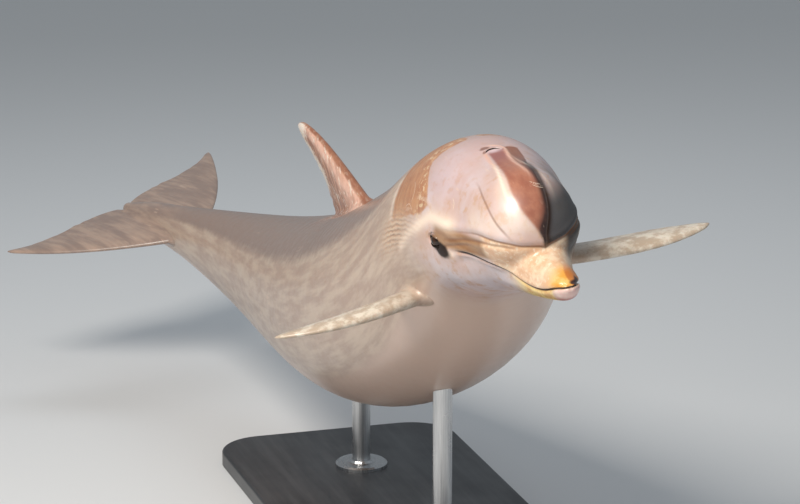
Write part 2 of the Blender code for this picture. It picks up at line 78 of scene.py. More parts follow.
MOUTH_Z = (-0.001, -0.003, -0.012, -0.0185, -0.0125, 0.0035, 0.0160, 0.0205, 0.0170, 0.013)
BEAK_S = (0.0, 0.05, 0.10, 0.15, 0.20, 0.30)
BEAK_TOP = (0.012, 0.0238, 0.038, 0.053, 0.066, 0.082)
CHIN_S = (-0.012, 0.0, 0.05, 0.10, 0.15, 0.20, 0.25, 0.30)
CHIN_LOW = (-0.026, -0.029, -0.040, -0.049, -0.056, -0.062, -0.068, -0.076)
JAW_S = (-0.02, 0.0, 0.05, 0.10, 0.15, 0.20, 0.25, 0.30, 0.36, 0.45)
JAW_HALF = (0.0252, 0.0265, 0.0325, 0.0422, 0.059, 0.079, 0.098, 0.109, 0.110, 0.100)
CHIN_LEAD = 0.012           # the lower jaw reaches this far beyond the upper
BEAK_POWER = (2.0, 3.0)     # of the beak's section, in front and under the melon
BEAK_SQUARE = (0.06, 0.14)  # where it changes from one to the other
JAW_POWER = 2.2
BEAK_NOSE = ((0.044, 2.0), (0.048, 2.1))    # length and power of its round, in height and width
JAW_NOSE = ((0.032, 2.2), (0.042, 2.2))
LIP_LEVEL = 0.003           # each jaw is widest this far from the mouth line
LIP_DEPTH = (0.008, 0.007)  # how far the beak reaches below there, and the lower jaw above
LIP_BURY = (0.02, 0.2, 0.3)     # and how much more further back, from one station to the next
JAW_FADE = (1.2, 0.32)      # how steeply both jaws sink into the head, and from where
NOSE_STOP = (4.0, 0.0005)   # how steeply a jaw ends ahead of its tip, and how close to it

# How the forms run into each other: the width of the round, how fast it grows, and from where.
MELON_ROUND = 0.05
BEAK_ROUND = (0.008, 0.24, 0.15)
JAW_ROUND = (0.0035, 0.35, 0.22)
EASE = 0.012                # length over which a blend starts to grow
GAPE = 0.264                # corner of the mouth
REACH = 0.30                # no skin is farther than this from the core line
HALVINGS = 24               # steps that close in on the skin
CORE_LEVEL = (0.30, 0.50)   # between these the core line leaves the mouth for the body's middle
NORMAL_STEP = 4e-4          # for differences of the field
TINY = 1e-6                 # keeps a division from failing

# ---- sizes of the fins ------------------------------------------------
# Edge curves as cubics, thickness at root and tip, and the share of the span that the tip rounds over;
# then how far the root's loop stands off, the rings along the span, and how uneven the rear edge is.
DORSAL = dict(leading=((0, 1.03, 0.170), (0, 1.13, 0.288), (0, 1.215, 0.390), (0, 1.372, 0.413)),
              trailing=((0, 1.36, 0.150), (0, 1.300, 0.215), (0, 1.292, 0.300), (0, 1.398, 0.384)),
              thickness=(0.040, 0.012), tip=0.10, margin=0.018, rings=30, nicks=0.05)
FLIPPER = dict(leading=((0.105, 0.520, -0.080), (0.205, 0.480, -0.104), (0.325, 0.425, -0.118),
                        (0.425, 0.500, -0.092)),
               trailing=((0.115, 0.632, -0.042), (0.205, 0.600, -0.060), (0.315, 0.560, -0.068),
                         (0.421, 0.520, -0.086)),
               thickness=(0.036, 0.007), tip=0.06, margin=0.012, rings=24, nicks=0.02)
FLUKE = dict(leading=((0.0, 2.165, 0), (0.120, 2.255, 0), (0.225, 2.350, 0), (0.304, 2.500, 0)),
             trailing=((0.0, NOTCH_S, 0), (0.085, 2.505, 0), (0.200, 2.435, 0), (0.298, 2.508, 0)),
             thickness=(0.030, 0.006), tip=0.04, margin=0.011, rings=22, nicks=0.03)
NICK_WAVE = (41, 2, 17)     # the rear edge wavers as sin(41 t + 2 sin(17 t))
NICK_POWER = 8              # of the chord: it dies away quickly in front of the rear edge
CHORD_POINTS = 61           # across the root
FOOT_POINTS = 200           # round the loop that the block is fitted to
ROOT_SEARCH = (0.7, 701)    # the root is looked for up to this share of the span, in so many steps
TAIL_ROOM = (0.016, 0.006)  # a root, and the loop round it, keep this far from the end of the body
SKIN_RINGS, RISE_RINGS, TIP_RINGS = 4, 7, 7     # over the skin to the root's loop, up from it, and last
ROOT_SPAN = 0.03            # share of the span given to the rise from the skin
RISE_PULL = 0.9             # how far the rise keeps its direction at each end, against its length
LAST_START = 0.9            # the rise ends before this share of the span
FIN_BLOCK = (0.010, np.radians(3.0))    # margin round that loop of the block cut out, in s and angle
NICKED = (0.2, 0.5)         # the wavering starts between these shares of the span
WING = (2.969, -1.26, -3.516, 2.843, -1.036)    # factors of the chord's root and its powers 1 to 4
REAR_ROUND = 0.10           # how blunt the rear edge is

# ---- the grid of the skin ---------------------------------------------
UPPER_COLUMNS = 98          # from straight up to the level of the core line, in front of JOIN_S
LOWER_COLUMNS = 36          # and from there to straight down; behind JOIN_S there are half as many
CROWD = (2.2, 80.0, 16.0)   # extra density round 80 degrees from straight up, spread over 16
JOIN_S = 0.70
PROFILES = (0.0, 25.0, 50.0)    # the rows are spaced along the skin at these angles, in degrees
LEAN_IN, LEAN_OUT = (0.05, 0.13), (0.22, 0.46)  # where the rays come to lean forwards, and stop
NOSE_S = 0.05               # in front of here the sections fan round to the tip
NOSE_RISE = np.radians(13.0)    # the fan's pole looks this much upwards
NOSE_ROWS = 24
SPACING_S = (0.05, 0.37, 0.42, 0.60, 0.72, 1.00, 1.04, 1.42, 1.50, 2.05, 2.16, 2.43)
SPACING = (0.0029, 0.0029, 0.0050, 0.0066, 0.0160, 0.0180,
           0.0125, 0.0125, 0.0190, 0.0170, 0.0095, 0.0085)
TAIL_CAP = 0.012            # how far the cap bulges, and its rings
CAP_RINGS = 5
FINE_STEPS = 4001           # of the running totals that the spacing is read from

# ---- sizes of the eyes and the blowhole -------------------------------
EYE_S = 0.338
EYE_ANGLE = np.radians(85.0)
EYE_RADIUS = 0.0145
EYE_DEPTH = 0.0105          # from the skin down to the middle of the eyeball
EYE_SLIT = (0.0165, 0.0084)     # half length and half height of the opening between the lids
EYE_TILT = np.radians(10.0)     # the front corner sits lower
EYE_ROUND = (0.0225, 0.0165)    # the same of the outermost almond in the skin round it
ROUNDED_BY = 0.35           # share of the way from the grid's edge to the lid's where that lies
CORNER_SINK = 0.0030        # how deep the corners of the lids lie
EYE_BLOCK = (0.024, np.radians(8.5))    # half size of the block that the lids fill, in s and angle
EYE_MARGIN = (0.001, np.radians(0.5))
LID_POWER = 1.1             # over 1: the corners of the almond are drawn out
LOWER_LID = 0.85            # its height against the upper one's
LID_LIFT = 0.0010           # of the lid's edge over the ball
LIP_IN = 0.97               # behind the edge the opening is this much smaller
LID_RINGS, LIP_RINGS, SOCKET_RINGS = 14, 3, 6   # to the lid's edge, behind it and round the ball
LID_DRAPE = (0.30, 1.0)     # shares between which the lid leaves the flesh for the ball
UPPER_LID = (-0.3, 0.6)     # heights between which the lower lid passes into the upper
# Rolls and folds round the eye: height on the lower and the upper lid, share of the way in, width.
LID_FOLDS = ((0.0012, 0.0024, 0.84, 0.12), (0.0, -0.0014, 0.58, 0.10), (0.0, 0.0009, 0.36, 0.10),
             (-0.0010, 0.0, 0.60, 0.14))
SOCKET_GAP = 0.0004         # behind the ball
BLOWHOLE_S = 0.331
BLOWHOLE_RADIUS = 0.017
BLOWHOLE_SPREAD = np.radians(58.0)
BLOWHOLE_WIDTH = 0.0062
BLOWHOLE_DEPTH = 0.009
BLOWHOLE_BLOCK = (0.006, 0.024, np.radians(11.0))   # how far forwards its middle lies, and half sizes
BLOWHOLE_RIM = (0.0008, 0.0001, 0.90, 0.16)     # height, how much less in front, share in, width
BLOWHOLE_CROWN = 0.155      # its height over the core line
BLOWHOLE_ENDS = (0.35, 0.65, 0.9)   # widths: everywhere, more at its middle, more at its right end
BLOWHOLE_RINGS, RING_EASE = 12, 0.75    # from the block's edge to the slit, closer together there
WALL_NARROW = 0.7           # the walls' width against the slit's
WALL_RINGS = (0.12, 1, 4)   # the first and last share of the depth, and their number
WALL_JOIN = 0.3             # above this share of the depth the walls lean out to the slit's edge
BLOWHOLE_FLOOR = 0.001      # how much deeper its bottom lies
LOOP_POINTS = 80            # of the outlines that these blocks are fitted round
SMALL_BLOCK = (0.001, 0.01) # margins of these blocks, in s and radians

# ---- lines on the head: points as s and degrees from straight up ------
CREASE = ((0.1426, 0), (0.1440, 6), (0.1452, 12), (0.1465, 18), (0.1481, 24), (0.1502, 30), (0.1528, 36),
          (0.157, 42), (0.165, 48), (0.1764, 54), (0.196, 60), (0.222, 63.5), (0.252, 66.5), (0.295, 70),
          (0.328, 72.5), (0.359, 74))   # seen along the leaning rays
FOLD = ((0.104, 30), (0.112, 39), (0.126, 47), (0.150, 57), (0.182, 66), (0.220, 74), (0.258, 78.5),
        (0.290, 80), (0.318, 81))
POUCH = ((0.205, 76), (0.232, 81), (0.258, 83.5), (0.283, 85), (0.308, 87))
WHISKER_LINE = ((0.262, -27.5), (0.246, -28), (0.210, -31.5), (0.174, -34), (0.136, -36), (0.118, -35),
                (0.108, -34))
STREAK = ((0.322, 6.5), (0.290, 8), (0.262, 9.2), (0.230, 11), (0.200, 13.2), (0.174, 15.2), (0.150, 17),
          (0.134, 17.5), (0.113, 18), (0.101, 16))
BAND_LEFT = ((0.318, -5.5), (0.290, -6.5), (0.262, -7.8), (0.230, -9.2), (0.200, -10.6), (0.174, -12.2),
             (0.145, -14), (0.120, -13.5), (0.103, -9), (0.0965, -3))
BAND_RIGHT = ((0.334, 18), (0.276, 17.5), (0.230, 13.5), (0.190, 11.5), (0.158, 10.5), (0.124, 10),
              (0.104, 7), (0.0965, 1))
BAND_RIDGE = ((0.345, -5), (0.343, 1), (0.336, 6), (0.324, 8), (0.300, 7), (0.264, 5.5), (0.214, 4.8),
              (0.170, 6), (0.150, 7))
SCARS = (((0.158, 2), (0.152, 6), (0.150, 10)), ((0.150, 3), (0.144, 7), (0.143, 11)),
         ((0.300, -46), (0.288, -50), (0.285, -56)), ((0.440, -44), (0.425, -52), (0.430, -60)),
         ((0.455, -62), (0.436, -60), (0.420, -66)))
LINE_POINTS = 56
LINE_REACH = 0.022          # lines are measured no farther out than this
WIDE_REACH = 0.07           # but the edges of the band are measured this far,
CREASE_REACH = 0.06         # and the crease this far
DEGREE_RUN = 0.12           # metres of skin to one radian round the head, for the spacing of points

# ---- relief of the skin, in metres ------------------------------------
MOUTH_GROOVE = (0.0036, 0.0013, 0.004)      # depth, width at s = 0 and how much it grows per metre
LIP_ROLL = (0.0010, 0.0068, 0.0042)         # height, distance from the mouth line and width
MOUTH_END = (-0.012, 0.008)                 # from the corner: where the lips fade out
MOUTH_CORNER = (0.0020, 0.010, 0.002, 1.6, 0.0055)  # depth, back, down, stretch and width of the dimple
CREASE_FRONT = (0.12, 0.40)                 # shares of the crease: it is deeper before these
CREASE_END = (0.80, 1.0)                    # and fades out between these
CREASE_GROOVE = (0.0012, 0.0018, 0.0050)    # depth, how much more in front, and width
CREASE_ROLL = (0.0015, 0.0005, 0.0090, 0.0062)  # height, how much less in front, offset and width
NECK_CORDS = (0.0010, 0.0105, 0.20, 0.50)   # height, pitch, and how steeply they slope from which s
NECK_WAVE = (0.0035, 30.0, 1.0)             # how far the cords waver, per metre and from where
NECK_AT, NECK_SPREAD = (0.515, 0.045), (0.075, 0.030)   # s and z
NECK_SIDE = (0.06, 0.12)                    # they start between these distances from the middle plane
LIP_START = -0.02                           # nothing stands out in front of here


# ---- curves -----------------------------------------------------------
def spline(knots, values, at):
    """Natural cubic through the knots: each piece is a cubic and the bending is nought at both ends."""
    knots, values = np.asarray(knots, float), np.asarray(values, float)
    span, rise = np.diff(knots), np.diff(values)
    system, right = np.eye(len(knots)), np.zeros(len(knots))
    for i in range(1, len(knots) - 1):
        system[i, i - 1:i + 2] = span[i - 1], 2 * (span[i - 1] + span[i]), span[i]
        right[i] = 6 * (rise[i] / span[i] - rise[i - 1] / span[i - 1])
    bending = np.linalg.solve(system, right)
    at = np.clip(at, knots[0], knots[-1])
    i = np.clip(np.searchsorted(knots, at, side="right") - 1, 0, len(span) - 1)
    h, a, b = span[i], knots[i + 1] - at, at - knots[i]
    return (bending[i] * a**3 + bending[i + 1] * b**3) / (6 * h) + (
        (values[i] / h - bending[i] * h / 6) * a + (values[i + 1] / h - bending[i + 1] * h / 6) * b)


def smooth_step(start, end, at):
    """0 before start, 1 after end, and 3t^2 - 2t^3 between."""
    t = np.clip((at - start) / (end - start), 0, 1)
    return t * t * (3 - 2 * t)


def running(steps):
    """Running total of some steps, from nought."""
    return np.concatenate([[0], np.cumsum(steps)])


def bezier(points, t):
    """Cubic with the four control points given."""
    p, t = np.asarray(points, float), np.asarray(t, float)[..., None]
    return (1 - t)**3 * p[0] + 3 * t * (1 - t)**2 * p[1] + 3 * t * t * (1 - t) * p[2] + t**3 * p[3]


def bell(distance, width):
    """exp(-(distance/width)^2)."""
    return np.exp(-(distance / width)**2)


def spot(across, along, radius):
    """A bell round a point, by the distance sqrt(across^2 + along^2)."""
    return bell(np.hypot(across, along), radius)


def falling(start, end, at):
    """1 before start and 0 after end."""
    return 1 - smooth_step(start, end, at)


def between(at, low, high, soft):
    """1 from low to high, falling to 0 over soft outside."""
    return smooth_step(low - soft, low, at) * falling(high, high + soft, at)


def unit(v):
    """Vectors over their own length."""
    return v / (np.linalg.norm(v, axis=-1, keepdims=True) + 1e-12)


# ---- the straight body as a field: negative inside, nought on the skin ----
def merged(a, b, blend):
    """The smaller of two fields, rounded over where they are within blend of each other."""
    h = np.clip(0.5 + 0.5 * (b - a) / blend, 0, 1)
    return b + (a - b) * h - blend * h * (1 - h)


def section(x, z, half, up, down, power):
    """Field of a tube whose section is |x/half|^power + |z/up or down|^power = 1."""
    tall = np.where(z > 0, up, down)
    reach = (np.abs(x / half)**power + np.abs(z / tall)**power)**(1 / power) + 1e-9
    return np.hypot(x, z) * (1 - 1 / reach)


def rounded(t, length, power):
    """Blunt nose of a tube: 0 at t = 0, rising steeply and level at t = length."""
    return (1 - (1 - np.clip(t / length, 0, 1))**power)**(1 / power)


def growing(width, rate, start, s):
    """width, and rate more for each metre behind start; the bend at start is spread over EASE."""
    return width + rate * EASE * np.logaddexp(0, (s - start) / EASE)


def mouth(s):
    """Height of the mouth line."""
    return spline(MOUTH_S, MOUTH_Z, s)


def jaw(t, x, z, half, tall, lip, noses, power):
    """Field of one jaw, t behind its own tip; tall is its height over its widest level, lip its depth."""
    tall = rounded(t, *noses[0]) * tall
    wide = rounded(t, *noses[1]) * half
    edge = np.minimum(lip, 0.5 * tall) + LIP_BURY[0] * smooth_step(*LIP_BURY[1:], t)
    tube = section(x, z, wide + TINY, tall + TINY, edge + TINY, power)
    return tube + NOSE_STOP[0] * np.clip(NOSE_STOP[1] - t, 0, None)


def flesh(s, x, z):
    """Trunk, melon, upper beak and lower jaw, run together."""
    trunk = section(x, z, spline(TRUNK_S, TRUNK_HALF, s), spline(TRUNK_S, TRUNK_UP, s),
                    spline(TRUNK_S, TRUNK_DOWN, s), TRUNK_POWER)
    trunk = trunk + TRUNK_FRONT * np.clip(TRUNK_S[0] - s, 0, None)
    along, side, high = MELON_REACH
    ahead, above = s - MELON_AT[0], z - MELON_AT[1]
    tall = np.where(above > 0, high, MELON_SINK)
    level_reach = (np.abs(ahead / along)**MELON_POWER + np.abs(x / side)**MELON_POWER)**(1 / MELON_POWER)
    reach = np.hypot(level_reach, above / tall) + TINY
    steepness = np.sqrt((ahead / along**2)**2 + (x / side**2)**2 + (above / tall**2)**2) + TINY
    melon = reach * (reach - 1) / steepness

    width, level = spline(JAW_S, JAW_HALF, s), mouth(s)
    fade = growing(0.0, *JAW_FADE, s)
    square = BEAK_POWER[0] + (BEAK_POWER[1] - BEAK_POWER[0]) * smooth_step(*BEAK_SQUARE, s)
    upper = jaw(s, x, z - level - LIP_LEVEL, width, spline(BEAK_S, BEAK_TOP, s) - level - LIP_LEVEL,
                LIP_DEPTH[0], BEAK_NOSE, square)
    lower = jaw(s + CHIN_LEAD, x, level - LIP_LEVEL - z, width - LIP_LEVEL,
                level - LIP_LEVEL - spline(CHIN_S, CHIN_LOW, s), LIP_DEPTH[1], JAW_NOSE, JAW_POWER)
    whole = merged(trunk, melon, MELON_ROUND)
    whole = merged(whole, upper + fade, growing(*BEAK_ROUND, s))
    return merged(whole, lower + fade, growing(*JAW_ROUND, s))


def core_height(s):
    """Height of the line that the sections are measured from: the mouth, then the middle of the body."""
    return mouth(s) * falling(*CORE_LEVEL, s)


def cast(start, way):
    """Where rays from inside the flesh leave it: start + reach way, by halving a bracket."""
    near, far = np.zeros(way.shape[:-1]), np.full(way.shape[:-1], REACH)
    for _ in range(HALVINGS):
        middle = (near + far) / 2
        at = start + middle[..., None] * way
        outside = flesh(at[..., 1], at[..., 0], at[..., 2]) > 0
        far, near = np.where(outside, middle, far), np.where(outside, near, middle)
    return start + near[..., None] * way


def skin(s, angle, lean=0.0):
    """Points (x, s, z) of the bare skin, at angle from straight up round the core line at s.

    With a lean the rays also run forwards, by lean cos(angle) where that is upwards.
    """
    s, angle, lean = np.broadcast_arrays(np.asarray(s, float), angle, lean)
    start = np.stack([0 * s, s, core_height(s)], -1)
    ahead = lean * np.clip(np.cos(angle), 0, None)
    return cast(start, unit(np.stack([np.sin(angle), -ahead, np.cos(angle)], -1)))


def lean_of(s):
    """The rays lean forwards under the front of the melon, which overhangs the beak."""
    return smooth_step(*LEAN_IN, s) * falling(*LEAN_OUT, s)


def turn_of(p):
    """Angle from straight up of points, seen from the core line."""
    return np.arctan2(p[..., 0], p[..., 2] - core_height(p[..., 1]))


def outward(points):
    """Unit normals of the flesh at straight points, from differences of the field."""
    slope = []
    for axis in range(3):
        ends = []
        for sign in (1, -1):
            moved = np.array(points)
            moved[..., axis] += sign * NORMAL_STEP
            ends.append(flesh(moved[..., 1], moved[..., 0], moved[..., 2]))
        slope.append(ends[0] - ends[1])
    return unit(np.stack(slope, -1))


# ---- lines over the skin ----------------------------------------------
class Line:
    """A smooth curve over the bare skin through (s, degrees); on both sides if mirrored."""

    def __init__(self, points, mirrored=False, reach=LINE_REACH, leaning=False):
        s, degrees = np.array(points, float).T
        run = running(np.hypot(np.diff(s), np.radians(np.diff(degrees)) * DEGREE_RUN))
        at = np.linspace(0, run[-1], LINE_POINTS)
        s = spline(run, s, at)
        self.points = skin(s, np.radians(spline(run, degrees, at)), lean_of(s) if leaning else 0.0)
        self.mirrored, self.reach = mirrored, reach
        self.out = outward((self.points[1:] + self.points[:-1]) / 2)
        self.left = np.cross(self.out, np.diff(self.points, axis=0))

    def measure(self, p):
        """Signed distance of points from the curve and the share of the way along it.

        The distance is measured along the skin to the nearest piece of the polygon.  It is positive
        on the left of the way along it, seen from outside.
        """
        p = np.array(p)
        if self.mirrored:
            p[..., 0] = np.abs(p[..., 0])
        flat = p.reshape(-1, 3)
        low, high = self.points.min(0) - self.reach, self.points.max(0) + self.reach
        held = np.flatnonzero(np.all((flat > low) & (flat < high), axis=1))
        distance, share = np.full(len(flat), self.reach), np.zeros(len(flat))
        if len(held):
            start, piece = self.points[:-1], np.diff(self.points, axis=0)
            offset = flat[held][:, None] - start
            t = np.clip((offset * piece).sum(-1) / (piece**2).sum(-1), 0, 1)
            rest = offset - t[..., None] * piece
            size = np.linalg.norm(rest, axis=-1)
            k = size.argmin(1)
            row = np.arange(len(held))
            rest = rest[row, k] - (rest[row, k] * self.out[k]).sum(-1, keepdims=True) * self.out[k]
            sign = np.where((rest * self.left[k]).sum(-1) < 0, -1.0, 1.0)
            distance[held] = sign * np.minimum(np.linalg.norm(rest, axis=-1), self.reach)
            share[held] = (k + t[row, k]) / (LINE_POINTS - 1)
        return distance.reshape(p.shape[:-1]), share.reshape(p.shape[:-1])


def fading(share, start, end):
    """0 at both ends of a line, rising over start and falling over end."""
    return smooth_step(0, start, share + TINY) * falling(1 - end, 1, share)


CREASE_LINE = Line(CREASE, mirrored=True, reach=CREASE_REACH, leaning=True)
FOLD_LINE = Line(FOLD, mirrored=True)
POUCH_LINE = Line(POUCH, mirrored=True)
SIDE_LINE = Line(WHISKER_LINE)
STREAK_LINE = Line(STREAK, mirrored=True)
RIDGE_LINE = Line(BAND_RIDGE)
LEFT_LINE, RIGHT_LINE = Line(BAND_LEFT, reach=WIDE_REACH), Line(BAND_RIGHT, reach=WIDE_REACH)
SCAR_LINES = [Line(points) for points in SCARS]

# Each line, the shares of it that its relief rises and falls over, and then the height, the offset
# to its left and the width of each groove (below nought) or roll beside it.
LINE_RELIEF = (
    (FOLD_LINE, (0.25, 0.25), ((-0.0013, 0.0, 0.0044), (0.0009, -0.0070, 0.0050))),
    (POUCH_LINE, (0.25, 0.20), ((-0.0018, 0.0, 0.0048),)),
    (SIDE_LINE, (0.30, 0.15), ((-0.0008, 0.0, 0.0050),)),
    (STREAK_LINE, (0.06, 0.60), ((0.0013, 0.0, 0.0042),)),
    (RIDGE_LINE, (0.12, 0.40), ((0.0013, 0.0, 0.0040),)))


def relief(p):
    """How far the skin stands out of the flesh: the sum of the bells and waves of the tables above."""
    x, s, z = p[..., 0], p[..., 1], p[..., 2]
    gap = z - mouth(s)
    parted = falling(GAPE + MOUTH_END[0], GAPE + MOUTH_END[1], s)
    depth, width, growth = MOUTH_GROOVE
    height = -depth * bell(gap, width + growth * np.clip(s, 0, None)) * parted
    rise, beside, width = LIP_ROLL
    height = height + rise * bell(np.abs(gap) - beside, width) * parted
    depth, back, down, stretch, width = MOUTH_CORNER
    height = height - depth * spot((s - GAPE - back) / stretch, gap + down, width)

    off, share = CREASE_LINE.measure(p)
    front, ends = falling(*CREASE_FRONT, share), falling(*CREASE_END, share)
    depth, more, width = CREASE_GROOVE
    height = height - ends * (depth + more * front) * bell(off, width)
    rise, less, beside, width = CREASE_ROLL
    height = height + ends * (rise - less * front) * bell(off - beside, width)
    for line, ends, forms in LINE_RELIEF:
        off, share = line.measure(p)
        for rise, beside, width in forms:
            height = height + fading(share, *ends) * rise * bell(off - beside, width)

    rise, pitch, slant, from_s = NECK_CORDS
    sway, rate, start = NECK_WAVE
    level = z + slant * (s - from_s) + sway * np.sin(rate * s + start)
    cords = rise * np.sin(2 * np.pi * level / pitch)
    height = height + cords * neck_share(s, z) * smooth_step(*NECK_SIDE, np.abs(x))
    return np.where(s > LIP_START, height, 0)


def neck_share(s, z):
    """Where the neck folds when the head is lifted: a bell in s times one in z."""
    return bell(s - NECK_AT[0], NECK_SPREAD[0]) * bell(z - NECK_AT[1], NECK_SPREAD[1])


def dressed(p):
    """The finished skin at points of the bare skin: each is moved along its normal by the relief."""
    return p + relief(p)[..., None] * outward(p)


# ---- the bent spine ---------------------------------------------------
def spine():
    """Stations s, the place of the core line at each, and its left and up directions."""
    s = np.linspace(SPINE_ENDS[0], NOTCH_S + SPINE_ENDS[1], SPINE_STATIONS)
    slope = np.radians(spline(SPINE_S, SPINE_SLOPE, s))
    turn = -np.radians(spline(SPINE_S, SPINE_TURN, s))
    along = np.stack([np.sin(turn) * np.cos(slope), np.cos(turn) * np.cos(slope), -np.sin(slope)], -1)
    place = np.zeros_like(along)
    place[1:] = np.cumsum((along[1:] + along[:-1]) / 2, axis=0) * (s[1] - s[0])
    place -= np.stack([np.interp(0, s, place[:, k]) for k in range(3)], -1)
    left = np.stack([np.cos(turn), -np.sin(turn), 0 * turn], -1)
    up = np.cross(left, along)
    roll = np.radians(TRUNK_TWIST) * smooth_step(*TWIST_S, s)[:, None]
    return s, place, np.cos(roll) * left + np.sin(roll) * up, np.cos(roll) * up - np.sin(roll) * left


SPINE = spine()


def posed(points):
    """Straight points carried onto the bent spine, banked about the head's axis and lifted to height."""
    place, left, up = (np.stack([np.interp(points[..., 1], SPINE[0], line[:, k]) for k in range(3)], -1)
                       for line in SPINE[1:])
    bent = place + points[..., :1] * left + points[..., 2:] * up
    c, s = np.cos(BANK), np.sin(BANK)
    return np.stack([c * bent[..., 0] + s * bent[..., 2] + HEAD_PLACE[0], bent[..., 1] + HEAD_PLACE[1],
                     c * bent[..., 2] - s * bent[..., 0] + HEAD_HEIGHT], -1)


# ---- the skin as one mesh ---------------------------------------------
BODY, DORSAL_FIN, FLIPPER_FIN, FLUKE_FIN, LID, INNER = range(6)


def woven(rows):
    """Quads between rows of vertex numbers, each row closed on itself."""
    after = np.roll(rows, -1, axis=1)
    return np.stack([rows[:-1], rows[1:], after[1:], after[:-1]], -1)


class Skin:
    """Collects vertices (straight places, with a fin's span and chord) and the quads over them."""

    def __init__(self):
        self.places, self.spans, self.chords, self.kinds, self.quads = [], [], [], [], []
        self.count = 0

    def add(self, points, span=0.0, chord=0.5, kind=BODY):
        """Append vertices; returns their numbers in the shape of the grid given."""
        shape = points.shape[:-1]
        numbers = np.arange(self.count, self.count + int(np.prod(shape))).reshape(shape)
        self.places.append(points.reshape(-1, 3))
        for store, value in ((self.spans, span), (self.chords, chord), (self.kinds, kind)):
            store.append(np.broadcast_to(value, shape).reshape(-1).astype(float))
        self.count += numbers.size
        return numbers

    def weave(self, rows, keep=None):
        """Lay quads between rows of vertex numbers, or those of them that are kept."""
        quads = woven(rows)
        self.quads.append(quads.reshape(-1, 4) if keep is None else quads[keep])


def column_angles():
    """Angles from straight up: equal steps of the running total of 1 + CROWD e^-((a-middle)/spread)^2."""
    a = np.linspace(0, np.pi, FINE_STEPS)
    density = 1 + CROWD[0] * bell(a - np.radians(CROWD[1]), np.radians(CROWD[2]))
    total = running((density[1:] + density[:-1]) / 2)
    level = total[FINE_STEPS // 2]
    upper = np.interp(np.linspace(0, level, UPPER_COLUMNS + 1), total, a)
    lower = np.interp(np.linspace(level, total[-1], LOWER_COLUMNS + 1), total, a)
    half = np.concatenate([upper, lower[1:]])
    return np.concatenate([half, 2 * np.pi - half[-2:0:-1]])


def row_stations(start, end):
    """Stations from start to end, a local spacing apart along the longest of a few profiles."""
    s = np.linspace(start, end, FINE_STEPS)
    points = skin(s[:, None], np.radians(PROFILES), lean_of(s)[:, None])
    run = np.linalg.norm(np.diff(points, axis=0), axis=-1).max(1)
    total = running(run / np.interp(s[:-1], SPACING_S, SPACING))
    return np.interp(np.linspace(0, total[-1], int(round(total[-1])) + 1), total, s)


class Grid:
    """A stretch of the body: rays by station and angle, the vertices, and which quads are kept."""

    def __init__(self, mesh, s, angles, turned):
        bare = skin(s[:, None], turned, lean_of(s)[:, None])
        self.end, self.angles, self.round = s[-1], angles, len(angles)
        self.s = bare[..., 1]
        self.turn = angles + (turn_of(bare) - angles + np.pi) % (2 * np.pi) - np.pi
        self.points = dressed(bare)
        self.numbers = mesh.add(self.points)
        self.keep = np.ones((len(s) - 1, len(angles)), bool)

    def turn_at(self, rows, columns):
        """Angle of vertices whose column number may run below 0 or past the last."""
        return self.turn[rows, columns % self.round] + 2 * np.pi * (columns // self.round)

    def window(self, s, angle, row_margin, angle_margin):
        """Rows and columns of the smallest block that holds the loop (s, angle) with a margin."""
        columns = np.arange(-self.round, 2 * self.round)
        middle = np.abs(self.angles - angle.mean() % (2 * np.pi)).argmin()
        level = np.abs(self.s[:, middle] - s.mean()).argmin()
        at = self.turn_at(level, columns)
        held = columns[(at > angle.min() - angle_margin) & (at < angle.max() + angle_margin)]
        across = self.s[:, held % self.round]
        first = np.count_nonzero(across.max(1) < s.min() - row_margin) - 1
        last = len(across) - np.count_nonzero(across.min(1) > s.max() + row_margin)
        return max(first, 1), min(last, len(across) - 1), held[0] - 1, held[-1] + 1


def rim(block):
    """Row and column numbers round the block's edge, and the turn of each about its middle."""
    i0, i1, j0, j1 = block
    rows = np.concatenate([np.full(j1 - j0, i0), np.arange(i0, i1),
                           np.full(j1 - j0, i1), np.arange(i1, i0, -1)])
    columns = np.concatenate([np.arange(j0, j1), np.full(i1 - i0, j1),
                              np.arange(j1, j0, -1), np.full(i1 - i0, j0)])
    along, across = 2 * (rows - i0) / (i1 - i0) - 1, 2 * (columns - j0) / (j1 - j0) - 1
    return rows, columns, np.arctan2(across, -along)


class Patch:
    """A block cut out of the body's grid and the rings that grow in from its rim."""

    def __init__(self, mesh, grid, *outline):
        self.mesh, self.grid = mesh, grid
        self.block = grid.window(*outline)
        self.rows, self.columns, self.turn = rim(self.block)
        self.s = grid.s[self.rows, self.columns % grid.round]
        self.angle = grid.turn_at(self.rows, self.columns)
        self.rings = []

    def approach(self, s, angle, steps, ease=1.0, lift=None):
        """Rings over the skin from the rim to the loop (s, angle); lift(share) stands them out."""
        share = ((np.arange(1, steps + 1) / steps)**ease)[:, None]
        bare = skin(self.s + share * (s - self.s), self.angle + share * (angle - self.angle))
        points = dressed(bare)
        if lift is not None:
            points = points + lift(share)[..., None] * outward(bare)
        self.grow(points)
        return points

    def grow(self, points, **marks):
        """One ring, or several in order, inside the last."""
        self.rings.append(np.atleast_2d(self.mesh.add(points, **marks)))

    def close(self):
        """Cut the block out and lay quads over the rings, from the body's own vertices inwards."""
        i0, i1, j0, j1 = self.block
        self.grid.keep[i0:i1, np.arange(j0, j1) % self.grid.round] = False
        edge = self.grid.numbers[self.rows, self.columns % self.grid.round]
        self.mesh.weave(np.concatenate([edge[None]] + self.rings))


# ---- fins -------------------------------------------------------------
def blade(chord):
    """Half thickness of a fin section along its chord, 1 at the thickest, with a rounded rear edge."""
    powers = (np.sqrt(chord), chord, chord**2, chord**3, chord**4)
    wing = sum(factor * power for factor, power in zip(WING, powers))
    return np.maximum(wing, 0) + REAR_ROUND * np.sqrt(np.clip(chord * (1 - chord), 0, None))


